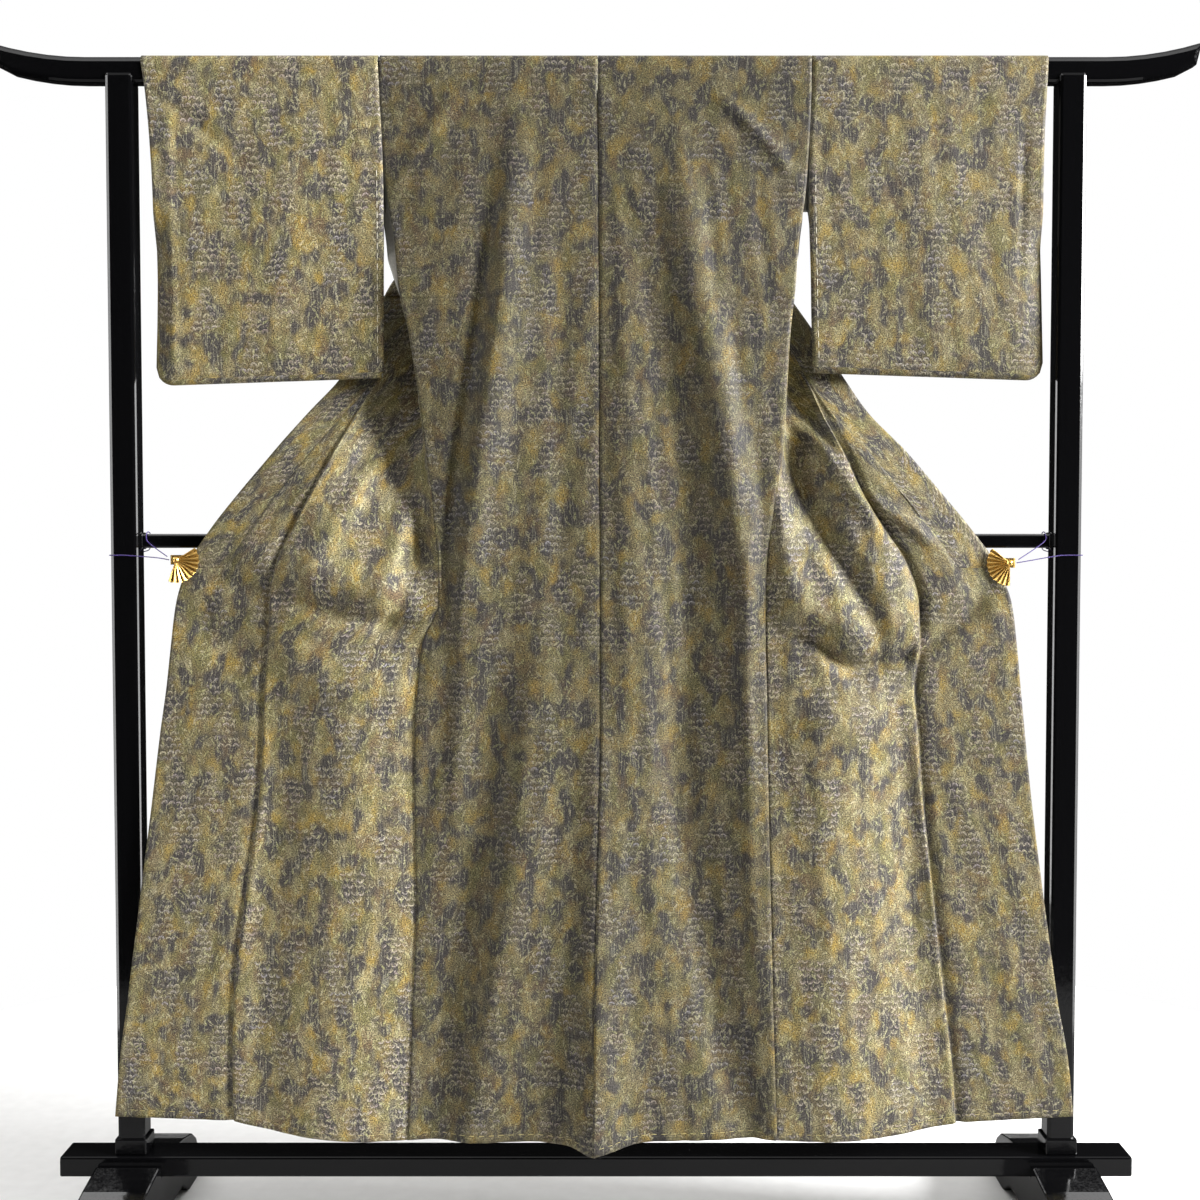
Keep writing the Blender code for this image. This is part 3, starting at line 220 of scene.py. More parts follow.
FRONT_COLUMNS = ("z seam_y tuck_out tuck_y pull_out pull_y "
                 "okumi_out okumi_y collar_out collar_y edge_out edge_y")
FRONT = {
    Side.LEFT: Table(FRONT_COLUMNS, (
        (0.15, -0.050, 0.070, -0.014, -0.070, -0.022, 0.537, -0.034, 0.640, -0.034, 0.714, -0.034),
        (0.25, -0.050, 0.070, -0.014, -0.070, -0.020, 0.539, -0.034, 0.634, -0.034, 0.706, -0.034),
        (0.35, -0.049, 0.070, -0.010, -0.070, -0.016, 0.535, -0.034, 0.622, -0.034, 0.694, -0.033),
        (0.50, -0.048, 0.070, -0.006, -0.070, -0.012, 0.518, -0.034, 0.603, -0.034, 0.674, -0.033),
        (0.65, -0.047, 0.070, -0.004, -0.070, -0.010, 0.496, -0.035, 0.584, -0.034, 0.654, -0.032),
        (0.75, -0.046, 0.070, -0.004, -0.070, -0.010, 0.488, -0.036, 0.572, -0.034, 0.641, -0.032),
        (0.82, -0.045, 0.070, -0.004, -0.070, -0.012, 0.485, -0.037, 0.563, -0.034, 0.631, -0.031),
        (0.88, -0.045, 0.060, 0.002, -0.070, -0.016, 0.479, -0.038, 0.556, -0.034, 0.624, -0.031),
        (0.94, -0.045, 0.060, -0.006, -0.075, -0.026, 0.476, -0.042, 0.549, -0.036, 0.616, -0.031),
        (1.00, -0.044, 0.055, 0.014, -0.080, -0.028, 0.465, -0.044, 0.535, -0.037, 0.596, -0.031),
        (1.05, -0.043, 0.050, 0.030, -0.080, -0.020, 0.441, -0.043, 0.505, -0.036, 0.564, -0.030),
        (1.10, -0.042, 0.030, 0.046, -0.080, 0.004, 0.415, -0.040, 0.467, -0.033, 0.525, -0.027),
        (1.16, -0.041, 0.004, 0.084, -0.075, 0.036, 0.383, -0.034, 0.420, -0.028, 0.475, -0.022),
        (1.22, -0.039, -0.040, 0.100, -0.075, 0.050, 0.353, -0.002, 0.372, 0.000, 0.427, 0.003),
        (1.28, -0.037, -0.080, 0.094, -0.085, 0.044, 0.322, 0.020, 0.3245, 0.0205, 0.377, 0.024),
        (1.34, -0.034, -0.110, 0.072, -0.090, 0.034, 0.294, 0.034, 0.294, 0.034, 0.351, 0.044),
        (1.40, -0.030, -0.125, 0.048, -0.085, 0.012, 0.264, 0.045, 0.264, 0.045, 0.321, 0.064),
        (1.47, 0.000, -0.080, 0.006, -0.010, -0.012, 0.230, 0.048, 0.230, 0.048, 0.269, 0.088),
        (1.54, 0.0182, -0.050, 0.002, 0.010, -0.004, 0.198, 0.036, 0.198, 0.036, 0.202, 0.087),
        (1.62, 0.0176, -0.060, 0.001, 0.030, -0.002, 0.155, 0.024, 0.155, 0.024, 0.124, 0.068),
        (1.69, 0.0174, -0.060, 0.000, 0.050, -0.001, 0.112, 0.020, 0.112, 0.020, 0.072, 0.055),
    )),
    Side.RIGHT: Table(FRONT_COLUMNS, (
        (0.15, -0.050, 0.070, -0.010, -0.070, -0.016, 0.534, -0.034, 0.636, -0.034, 0.709, -0.034),
        (0.25, -0.050, 0.070, -0.012, -0.070, -0.018, 0.527, -0.034, 0.628, -0.034, 0.700, -0.034),
        (0.35, -0.049, 0.070, -0.008, -0.070, -0.014, 0.516, -0.034, 0.613, -0.034, 0.684, -0.033),
        (0.50, -0.048, 0.070, -0.006, -0.070, -0.012, 0.498, -0.034, 0.592, -0.034, 0.662, -0.033),
        (0.65, -0.047, 0.070, -0.004, -0.070, -0.010, 0.481, -0.035, 0.573, -0.034, 0.642, -0.032),
        (0.75, -0.046, 0.070, -0.004, -0.070, -0.010, 0.472, -0.036, 0.562, -0.034, 0.631, -0.032),
        (0.82, -0.045, 0.070, -0.006, -0.070, -0.010, 0.466, -0.038, 0.556, -0.034, 0.624, -0.031),
        (0.88, -0.045, 0.060, -0.008, -0.070, -0.024, 0.473, -0.042, 0.552, -0.036, 0.618, -0.031),
        (0.94, -0.045, 0.060, -0.006, -0.060, -0.034, 0.471, -0.044, 0.546, -0.038, 0.610, -0.031),
        (1.00, -0.044, 0.050, 0.004, -0.040, -0.036, 0.452, -0.043, 0.522, -0.038, 0.585, -0.031),
        (1.05, -0.043, 0.040, 0.024, -0.020, -0.034, 0.420, -0.040, 0.490, -0.036, 0.549, -0.030),
        (1.10, -0.042, 0.024, 0.050, -0.006, -0.026, 0.390, -0.036, 0.452, -0.032, 0.508, -0.026),
        (1.16, -0.041, 0.010, 0.076, -0.004, -0.004, 0.362, -0.030, 0.402, -0.026, 0.458, -0.020),
        (1.22, -0.039, -0.020, 0.096, -0.020, 0.018, 0.334, -0.002, 0.350, 0.000, 0.404, 0.004),
        (1.28, -0.037, -0.060, 0.094, -0.050, 0.030, 0.310, 0.020, 0.3125, 0.0205, 0.366, 0.025),
        (1.34, -0.034, -0.095, 0.072, -0.075, 0.028, 0.278, 0.035, 0.278, 0.035, 0.331, 0.045),
        (1.40, -0.030, -0.120, 0.048, -0.080, 0.012, 0.242, 0.045, 0.242, 0.045, 0.292, 0.065),
        (1.47, 0.000, -0.080, 0.006, -0.010, -0.012, 0.218, 0.048, 0.218, 0.048, 0.245, 0.090),
        (1.54, 0.0182, -0.050, 0.002, 0.010, -0.004, 0.196, 0.034, 0.196, 0.034, 0.196, 0.086),
        (1.62, 0.0176, -0.060, 0.001, 0.030, -0.002, 0.154, 0.024, 0.154, 0.024, 0.124, 0.068),
        (1.69, 0.0174, -0.060, 0.000, 0.050, -0.001, 0.112, 0.020, 0.112, 0.020, 0.072, 0.055),
    )),
}

SLEEVE = Table("z left_in left_cuff right_in right_cuff half_gap", (
    (1.26, 0.3115, 0.649, 0.3190, 0.660, 0.0075),
    (1.30, 0.3115, 0.648, 0.3185, 0.659, 0.0095),
    (1.36, 0.3110, 0.646, 0.3160, 0.657, 0.0125),
    (1.42, 0.3105, 0.645, 0.3145, 0.655, 0.0150),
    (1.48, 0.3100, 0.646, 0.3125, 0.653, 0.0170),
    (1.54, 0.3100, 0.647, 0.3110, 0.653, 0.0182),
    (1.62, 0.3122, 0.651, 0.3122, 0.654, 0.0176),
    (1.69, 0.3157, 0.657, 0.3147, 0.657, 0.0174),
    (1.74, 0.3180, 0.664, 0.3155, 0.659, 0.0174),
))

# how far a front's edge sways out of the side opening, where its lining shows
OPENING_SWAY = Table("z left right", (
    (1.390, 0.000, 0.000),
    (1.420, 0.007, 0.001),
    (1.450, 0.014, 0.003),
    (1.500, 0.015, 0.004),
    (1.540, 0.000, 0.000),
))

NECK_STATIONS = (
    # seam_out, seam_y, seam_z, fall_out, fall_y, fall_z
    (0.000, 0.0188, 1.7135, 0.000, 0.040, 1.6625),
    (0.045, 0.0188, 1.7135, 0.020, 0.041, 1.6635),
    (0.086, 0.0188, 1.7125, 0.042, 0.045, 1.6700),
)


# --- folds ---
@dataclass(frozen=True)
class Fold:
    """A soft ridge (rise above 0, towards -Y) or trough along a line.

    Attributes:
        path: (level, place, rise) rows, level rising. Level is measured along the fold.
        width: metres from the line to where the rise has dropped to 1/e.
        lean: how much wider the side of greater place is, and narrower the other, as a share.
        fade: how far beyond the path's ends the fold dies out.
    """

    path: tuple
    width: float
    lean: float = 0.0
    fade: float = 0.05

    def rise(self, level: Array, place: Array, scale: float = 1.0) -> Array:
        """Height of the fold.

        Args:
            level: places along the fold.
            place: places across it.
            scale: metres in one unit of place.

        Returns:
            Metres towards -Y.
        """
        keys, places, rises = np.array(self.path, dtype=float).T
        outside = np.maximum(np.maximum(keys[0] - level, level - keys[-1]), 0.0)
        height = smooth_between(level, keys, rises) * np.clip(1.0 - outside / self.fade, 0.0, 1.0)
        across = (place - smooth_between(level, keys, places)) * scale
        width = self.width * (1.0 + self.lean * np.sign(across))
        return height * np.exp(-(across / width) ** 2)


def folded(folds: tuple, level: Array, place: Array, scale: float = 1.0) -> Array:
    """Height of several folds together, in metres towards -Y."""
    return sum(fold.rise(level, place, scale) for fold in folds)


# Down the back; place is the signed x.
BACK_FOLDS = (
    Fold(((0.62, -0.205, 0.003), (0.88, -0.196, 0.008), (1.00, -0.188, 0.014),
          (1.24, -0.158, 0.018), (1.40, -0.136, 0.015), (1.55, -0.124, 0.008),
          (1.69, -0.118, 0.001)), 0.024, 0.42),
    Fold(((0.90, -0.240, -0.004), (1.00, -0.226, -0.008), (1.24, -0.190, -0.009),
          (1.44, -0.162, -0.007), (1.60, -0.150, 0.000)), 0.016),
    Fold(((0.15, -0.185, 0.012), (0.30, -0.160, 0.015), (0.50, -0.130, 0.016),
          (0.72, -0.100, 0.011), (0.90, -0.080, 0.003)), 0.038, 0.35),
    Fold(((0.15, -0.250, -0.005), (0.40, -0.200, -0.009), (0.70, -0.158, -0.008),
          (0.86, -0.140, 0.000)), 0.030),
    Fold(((0.14, -0.004, 0.038), (0.30, -0.002, 0.025), (0.45, 0.000, 0.016), (0.62, 0.003, 0.010),
          (0.82, 0.005, 0.002)), 0.034, 0.30),
    Fold(((0.40, 0.246, 0.005), (0.65, 0.222, 0.010), (0.80, 0.222, 0.013), (0.95, 0.222, 0.015),
          (1.05, 0.208, 0.016), (1.24, 0.178, 0.015), (1.40, 0.146, 0.011), (1.52, 0.128, 0.007),
          (1.66, 0.114, 0.000)), 0.028),
    Fold(((0.15, 0.232, -0.010), (0.33, 0.178, -0.014), (0.50, 0.146, -0.014),
          (0.70, 0.126, -0.015), (0.90, 0.132, -0.014), (1.10, 0.126, -0.010),
          (1.30, 0.103, -0.007), (1.50, 0.078, -0.003)), 0.034),
    Fold(((1.56, 0.295, 0.004), (1.64, 0.222, 0.006), (1.70, 0.160, 0.000)), 0.014),
    Fold(((1.56, -0.290, 0.003), (1.64, -0.235, 0.005), (1.70, -0.190, 0.000)), 0.014),
    Fold(((0.80, 0.050, 0.003), (1.10, 0.045, 0.004), (1.40, 0.040, 0.003)), 0.022),
    Fold(((0.90, -0.050, -0.003), (1.15, -0.050, -0.004), (1.45, -0.045, -0.002)), 0.020),
)
# How far the side seams stand out towards -Y, and for how far into each panel.
SEAM_RIDGE = Table("z left right", (
    (0.15, 0.005, 0.008), (0.40, 0.004, 0.010), (0.65, 0.003, 0.011), (0.90, 0.002, 0.009),
    (1.05, 0.001, 0.005), (1.20, 0.000, 0.001), (1.35, 0.000, 0.000),
))
SEAM_RIDGE_WIDTH = 0.030

# Down a front; place is the share of the row from side seam to overlap seam.
FRONT_FOLDS = {
    Side.LEFT: (
        Fold(((0.960, 0.08, -0.008), (1.040, 0.10, -0.016), (1.15, 0.14, -0.006)), 0.024),
        Fold(((0.920, 0.35, 0.004), (1.000, 0.27, 0.014), (1.12, 0.14, 0.003)), 0.022),
        Fold(((0.905, 0.27, -0.006), (0.980, 0.19, -0.014), (1.05, 0.10, -0.003)), 0.018),
        Fold(((1.000, 0.75, 0.006), (1.100, 0.66, 0.010), (1.20, 0.50, 0.006)), 0.020),
        Fold(((0.160, 0.36, 0.007), (0.500, 0.38, 0.008), (0.70, 0.42, 0.012),
              (0.82, 0.46, 0.008)), 0.062),
        Fold(((0.160, 0.80, -0.007), (0.500, 0.84, -0.009), (0.84, 0.90, -0.003)), 0.034),
    ),
    Side.RIGHT: (
        Fold(((0.884, 0.72, -0.010), (0.929, 0.65, -0.015), (1.069, 0.42, -0.022),
              (1.225, 0.14, -0.008)), 0.020),
        Fold(((0.920, 0.20, 0.008), (1.030, 0.11, 0.014), (1.16, 0.02, 0.003)), 0.022),
        Fold(((1.060, 0.94, 0.006), (1.120, 0.86, 0.012), (1.170, 0.70, 0.012),
              (1.235, 0.48, 0.008)), 0.019),
        Fold(((0.160, 0.34, 0.009), (0.500, 0.36, 0.012), (0.74, 0.40, 0.013),
              (0.83, 0.44, 0.005)), 0.058, 0.25),
        Fold(((0.160, 0.84, -0.007), (0.500, 0.86, -0.010), (0.84, 0.90, -0.003)), 0.032),
    ),
}
# Across a front, where its slack bags out over the clip level; here level is the share of the row
# and place the height.
FRONT_SAGS = {
    Side.LEFT: (
        Fold(((0.10, 0.905, -0.007), (0.25, 0.911, -0.014), (0.52, 0.925, -0.017),
              (0.75, 0.940, -0.013), (1.00, 0.955, -0.006)), 0.015, fade=0.10),
        Fold(((0.05, 0.965, 0.005), (0.45, 0.972, 0.018), (0.95, 0.995, 0.006)), 0.030, fade=0.15),
        Fold(((0.10, 0.830, 0.004), (0.45, 0.830, 0.009), (0.90, 0.860, 0.004)), 0.042, fade=0.15),
    ),
    Side.RIGHT: (
        Fold(((0.10, 0.898, -0.007), (0.27, 0.893, -0.014), (0.58, 0.846, -0.018),
              (0.90, 0.862, -0.012), (1.00, 0.870, -0.008)), 0.015, fade=0.10),
        Fold(((0.15, 0.950, 0.005), (0.60, 0.902, 0.018), (1.00, 0.925, 0.008)), 0.034, fade=0.15),
        Fold(((0.20, 0.780, 0.004), (0.55, 0.765, 0.009), (0.95, 0.790, 0.004)), 0.048, fade=0.15),
    ),
}
# The same on the overlap panels; level is the share from overlap seam to free edge.
OVERLAP_SAGS = {
    Side.LEFT: (
        Fold(((0.00, 0.955, -0.006), (0.40, 0.965, -0.005), (0.95, 0.993, -0.002)), 0.014,
             fade=0.15),
        Fold(((0.00, 1.010, 0.006), (0.45, 1.015, 0.008), (0.80, 1.010, 0.001)), 0.022, fade=0.10),
        Fold(((0.05, 0.880, -0.004), (0.45, 0.880, -0.008), (0.90, 0.930, -0.002)), 0.034,
             fade=0.15),
    ),
    Side.RIGHT: (
        Fold(((0.00, 0.872, -0.010), (0.40, 0.912, -0.010), (0.95, 0.970, -0.004)), 0.016,
             fade=0.15),
        Fold(((0.00, 0.930, 0.009), (0.40, 0.960, 0.007), (0.80, 0.985, 0.001)), 0.024,
             fade=0.10),
        Fold(((0.00, 1.100, 0.007), (0.40, 1.044, 0.009), (0.75, 1.015, 0.001)), 0.020,
             fade=0.10),
    ),
}
# On the sleeves' -Y layer; place is out, level the height.
SLEEVE_FOLDS = {
    Side.LEFT: (
        Fold(((1.28, 0.620, 0.0030), (1.48, 0.621, 0.0036), (1.66, 0.623, 0.0020)), 0.008, 0.2),
        Fold(((1.56, 0.500, -0.001), (1.62, 0.560, -0.004), (1.69, 0.652, -0.005)), 0.014),
        Fold(((1.30, 0.470, 0.002), (1.50, 0.455, 0.003), (1.68, 0.430, 0.001)), 0.045),
    ),
    Side.RIGHT: (
        Fold(((1.44, 0.622, -0.0020), (1.53, 0.623, -0.0030), (1.64, 0.625, -0.001)), 0.005),
        Fold(((1.535, 0.316, 0.0010), (1.565, 0.334, 0.0026), (1.62, 0.345, 0.001)), 0.006),
        Fold(((1.30, 0.520, 0.002), (1.50, 0.500, 0.003), (1.68, 0.470, 0.001)), 0.050),
    ),
}


def swell(across: Array, along: Array, seed: int, height: float = 0.0008,
          spread: float = 0.035) -> Array:
    """Slight unevenness of hanging silk: long waves down the cloth, made of a few sines.

    Args:
        across: the cut's coordinate across the cloth in metres.
        along: the one along it.
        seed: fixes the waves.
        height: their size in metres.
        spread: their typical breadth in metres.

    Returns:
        Metres to add along the surface's normal.
    """
    rng = np.random.default_rng(seed)
    total = 0.0
    for _ in range(7):
        breadth = spread * rng.uniform(0.7, 2.2)
        length = breadth * rng.uniform(5.0, 12.0)
        phase = rng.uniform(0.0, 2 * math.pi)
        slant = rng.uniform(-0.12, 0.12)
        total = total + np.sin(2 * math.pi * ((across + slant * along) / breadth + along / length)
                               + phase) * rng.uniform(0.4, 1.0)
    return total * height / 2.2


# --- grids of cloth ---
@dataclass
class Grid:
    """Rows of points of a panel, with the cut's coordinates of each.

    Attributes:
        points: rows x columns x 3, NaN where the cloth is absent.
        cut: rows x columns x 2, metres across and along the cloth.
        outward: 1 where the face normals of the given order look out of the garment, else -1.
        closed: the last row joins the first.
    """

    points: Array
    cut: Array
    outward: float
    closed: bool = False

    def normals(self) -> Array:
        """Find which way is out of the garment.

        Returns:
            A unit vector at every point.
        """
        filled = np.where(np.isnan(self.points), 0.0, self.points)
        down = np.gradient(filled, axis=0)
        over = np.gradient(filled, axis=1)
        normal = np.cross(over, down) * self.outward
        size = np.linalg.norm(normal, axis=2, keepdims=True)
        return normal / np.where(size == 0.0, 1.0, size)

    def moved(self, distance: Array) -> "Grid":
        """The same grid, moved out of the garment by a distance at each point."""
        shift = self.normals() * np.asarray(distance)[..., None]
        return Grid(self.points + shift, self.cut, self.outward, self.closed)


def lengths_along(points: Array, axis: int) -> Array:
    """Measure along the rows or columns of a grid; absent stretches count nothing.

    Args:
        points: rows x columns x 3.
        axis: 1 to measure along rows, 0 along columns.

    Returns:
        The running length at every point.
    """
    steps = np.linalg.norm(np.diff(points, axis=axis), axis=2)
    steps = np.where(np.isnan(steps), 0.0, steps)
    start = np.zeros_like(np.take(steps, [0], axis=axis))
    return np.concatenate((start, np.cumsum(steps, axis=axis)), axis=axis)


def rail_wrap() -> Array:
    """Lead the cloth from the rail's -Y face over its top to the +Y face.

    Returns:
        (y, z) of each row.
    """
    radius = RAIL_ROUND + TOUCH + CAD_CLOTH / 2 + TOUCH
    centre_y, centre_z = RAIL_DEPTH / 2 - RAIL_ROUND, RAIL_Z[1] - RAIL_ROUND
    angles = np.radians([0, 18, 36, 54, 72, 90])
    near = np.stack((-centre_y - radius * np.cos(angles), centre_z + radius * np.sin(angles)), 1)
    flat = np.array([[0.0, near[-1, 1]]])
    far = near[::-1] * (-1.0, 1.0)
    return np.concatenate((near, flat, far))


def levels_between(low: float, high: float) -> Array:
    """Space the rows evenly, but closer at the tuck and with one at the collar's end.

    Args:
        low: height of the first row.
        high: height of the last one.

    Returns:
        The rows' heights, rising.
    """
    count = round((high - low) / ROW_STEP)
    even = np.linspace(low, high, count + 1)
    close = TUCK_Z + np.array([-0.0022, -0.0008, 0.0008, 0.0022])
    keep = even[(even < close[0] - 0.003) | (even > close[-1] + 0.003)]
    keep = keep[np.abs(keep - COLLAR_END_Z) > 0.002]
    extra = close[(close > low) & (close < high)]
    return np.sort(np.concatenate((keep, extra, [COLLAR_END_Z])))


def with_allowance(grid: Grid, rows: Array, last: bool, reach: float, sink: float,
                   away: tuple | None = None) -> Grid:
    """Add a seam allowance, which lies behind the neighbour so that no light shows through.

    Args:
        grid: the panel.
        rows: True for each row that has the allowance.
        last: it is on the last column and not the first.
        reach: how far it passes the seam.
        sink: how much deeper than the edge it lies.
        away: the direction it takes, or None to go on as the panel does.

    Returns:
        A grid with two more columns.
    """
    edge, inner = (-1, -2) if last else (0, 1)
    if away is None:
        away = grid.points[:, edge] - grid.points[:, inner]
        away = away / np.linalg.norm(away, axis=1)[:, None]
    else:
        away = np.asarray(away)
    down = grid.normals()[:, edge]
    near = grid.points[:, edge] + away * 0.0002 - down * sink
    far = grid.points[:, edge] + away * reach - down * sink
    absent = ~np.asarray(rows)
    near[absent] = np.nan
    far[absent] = np.nan
    added = np.stack((near, far) if last else (far, near), 1)
    cut = np.repeat(grid.cut[:, edge][:, None], 2, axis=1)
    order = (grid.points, added) if last else (added, grid.points)
    cuts = (grid.cut, cut) if last else (cut, grid.cut)
    return Grid(np.concatenate(order, 1), np.concatenate(cuts, 1), grid.outward, grid.closed)


def pressed(grid: Grid, rows: Array, column: int, depth: float) -> Grid:
    """Press one column in, where its edge passes under its neighbour's.

    Args:
        grid: the panel.
        rows: True for each row that is pressed.
        column: the column's number.
        depth: how far in it goes.

    Returns:
        The pressed grid.
    """
    shift = np.zeros(grid.points.shape[:2])
    shift[np.asarray(rows), column] = -depth
    return grid.moved(shift)


def hung(z: Array, hem: Array) -> Array:
    """Heights of the rows where the hem lies at another height than the nominal one."""
    lowered = hem + (z - HEM_Z) * (HEM_BLEND_Z - hem) / (HEM_BLEND_Z - HEM_Z)
    return np.where(z >= HEM_BLEND_Z, z, lowered)


@dataclass
class Body:
    """One half of the garment's body: back panel, shoulder and front panel in one length.

    Attributes:
        neck_cells: cells across, from the centre seam to the neck's edge.
        side_cells: cells from there to the side.
        kise: how far the centre seam's one edge passes under the other.
    """

    side: Side
    neck_cells: int = 16
    side_cells: int = 58
    kise: float = 0.0014

    def __post_init__(self) -> None:
        """Place the columns and rows."""
        neck = np.linspace(0.0, NECK_HALF, self.neck_cells + 1)
        rest = np.linspace(NECK_HALF, SHOULDER_HALF, self.side_cells + 1)[1:]
        self.shares = np.concatenate((neck, rest)) / SHOULDER_HALF
        self.levels = levels_between(HEM_Z, TOP_Z)

    def back_rows(self) -> Array:
        """Lay out the back panel, hem upwards.

        Returns:
            Rows of points.
        """
        share, z = np.meshgrid(self.shares, self.levels)
        hem = HEM_MIDDLE_Z + (HEM_Z - HEM_MIDDLE_Z) * np.minimum(1.0, share / HEM_RISE_SHARE)
        z = hung(z, hem)
        sign = self.side.sign
        ridge = np.maximum(0.0, (RIDGE_TOP_Z - z) / (RIDGE_TOP_Z - HEM_Z))
        centre = BACK.at(z, "centre_x") + sign * (SEAM + RIDGE_SEAM * ridge) / 2
        edge = sign * BACK.at(z, self.side.value + "_out")
        x = centre + (edge - centre) * share
        centre_y, side_y = BACK.at(z, "centre_y"), BACK.at(z, "side_y")
        hump = 4 * share * (1 - share) * (BACK.at(z, "mid_y") - (centre_y + side_y) / 2)
        y = centre_y * (1 - share) + side_y * share + hump
        hold = np.minimum(1.0, (1.0 - share) / HOLD_SHARE)
        y -= folded(BACK_FOLDS, z, x) * (HELD + (1 - HELD) * hold)
        seam = np.exp(-(np.abs(edge - x) / SEAM_RIDGE_WIDTH) ** 2)
        y -= SEAM_RIDGE.at(z, self.side.value) * seam
        above = z - TUCK_Z
        y -= TUCK_STEP * np.clip(above / 0.0010, 0, 1) * np.clip(1 - above / TUCK_FADE, 0, 1)
        y += PRESS_DEPTH * np.exp(-((z - PRESS_Z) / PRESS_WIDTH) ** 2)
        return np.stack((x, y, z), 2)

    def front_rows(self) -> tuple[Array, Array]:
        """Lay out the front panel, shoulder downwards, on a curve at each height.

        Returns:
            Rows of points, and their lengths from the side seam.
        """
        side, sign = self.side, self.side.sign
        start_share = self.shares[self.neck_cells]
        share = (1.0 - self.shares[self.neck_cells:]) / (1.0 - start_share)
        z = self.levels[::-1]
        table = FRONT[side]
        below = np.clip((SIDE_OPENING_Z + OPENING_EASE - z) / OPENING_EASE, 0.0, 1.0)
        seam_out = BACK.at(z, side.value + "_out") + SEAM * below + OPENING_SWAY.at(z, side.value)
        seam_y = table.at(z, "seam_y") + LAP * below - SEAM_RIDGE.at(z, side.value)
        start = np.stack((sign * seam_out, seam_y), 1)
        end = np.stack((sign * table.at(z, "okumi_out"), table.at(z, "okumi_y")), 1)
        tuck = start + np.stack((sign * table.at(z, "tuck_out"), table.at(z, "tuck_y")), 1)
        pull = end + np.stack((sign * table.at(z, "pull_out"), table.at(z, "pull_y")), 1)
        t = np.linspace(0.0, 1.0, 97)[:, None, None]
        dense = (start * (1 - t) ** 3 + tuck * 3 * t * (1 - t) ** 2 + pull * 3 * t * t * (1 - t)
                 + end * t ** 3)
        steps = np.linalg.norm(np.diff(dense, axis=0), axis=2)
        run = np.concatenate((np.zeros((1, len(z))), np.cumsum(steps, axis=0)))
        rows, around = [], []
        for k in range(len(z)):
            length = run[-1, k]
            at = share * length
            x = np.interp(at, run[:, k], dense[:, k, 0])
            y = np.interp(at, run[:, k], dense[:, k, 1])
            ends = np.minimum(share / FRONT_CALM[0], (1.0 - share) / FRONT_CALM[1])
            ends = np.clip(ends, 0.0, 1.0)
            level = np.full_like(share, z[k])
            rise = folded(FRONT_FOLDS[side], level, share, length)
            rise += folded(FRONT_SAGS[side], share, level)
            y = y - rise * ends
            hem = HEM_Z + (FRONT_HEM_OUT_Z[side] - HEM_Z) * share ** 2.5
            rows.append(np.stack((x, y, hung(level, hem)), 1))
            around.append(at)
        return np.array(rows), np.array(around)

    def grid(self) -> Grid:
        """Lay out the whole panel from the back hem over the shoulder to the front hem.

        Returns:
            The panel.
        """
        back = self.back_rows()
        wrap = rail_wrap()
        over = np.repeat(back[-1][None], len(wrap), axis=0)
        over[:, :, 1] = wrap[:, 0][:, None]
        over[:, :, 2] = wrap[:, 1][:, None]
        front, around = self.front_rows()
        absent = np.full((len(front), self.neck_cells, 3), np.nan)
        points = np.concatenate((back, over, np.concatenate((absent, front), axis=1)))
        across = np.abs(points[:, :, 0] - points[:, :1, 0])
        across[-len(front):, self.neck_cells:] = SHOULDER_HALF - around
        along = lengths_along(points[:, -6:-5], 0)
        along = np.repeat(along, points.shape[1], axis=1)
        cut = np.stack((across, along), 2)
        grid = Grid(points, cut, self.side.sign)
        seed = 11 if self.side is Side.LEFT else 12
        calm = np.clip((TOP_Z - np.nan_to_num(points[:, :, 2], nan=TOP_Z)) / 0.15, 0.0, 1.0)
        edges = np.clip(np.minimum(self.shares, 1.0 - self.shares) / 0.06, 0.0, 1.0)[None, :]
        return grid.moved(swell(across, along, seed) * calm * edges)

    def sewn(self, grid: Grid) -> Grid:
        """Add the allowances: at the centre seam, and on the front at the side seam.

        Args:
            grid: the panel.

        Returns:
            The panel as it is sewn.
        """
        z = grid.points[:, -1, 2]
        back = np.arange(len(z)) < len(self.levels)
        front = np.arange(len(z)) >= len(z) - len(self.levels)
        below = z < SIDE_OPENING_Z - 0.012
        if self.side is Side.LEFT:
            hanging = back & (z < HANG_TOP_Z)
            grid = pressed(grid, hanging, 0, self.kise)
            grid = with_allowance(grid, hanging, False, ALLOWANCE, 0.0)
            sink = 0.0
        else:
            grid = pressed(grid, back & below, -1, LAP - 0.0005)
            sink = ALLOWANCE_SINK
        grid = with_allowance(grid, front & below, True, ALLOWANCE, sink,
                              (-self.side.sign, 0.0, 0.0))
        joined = back & (z > ARMHOLE_Z) & (z < HANG_TOP_Z)
        allowance = with_allowance(grid, joined, True, ALLOWANCE, ALLOWANCE_SINK)
        grid.points[joined, -2:] = allowance.points[joined, -2:]
        return grid


def overlap_points(side: Side, z: Array) -> tuple[Array, Array, Array]:
    """Find the lines of a front's overlap panel.

    Args:
        side: which front.
        z: heights.

    Returns:
        Points of the overlap seam, the collar line and the free edge at the heights.
    """
    table, sign = FRONT[side], side.sign
    lines = []
    for name, apart, behind in (("okumi", SEAM, LAP), ("collar", 0.0, COLLAR_LAP),
                                ("edge", 0.0, 0.0)):
        out, y = table.at(z, name + "_out"), table.at(z, name + "_y")
        lines.append(np.stack((sign * (out + apart), y + behind, z), -1))
    return tuple(lines)


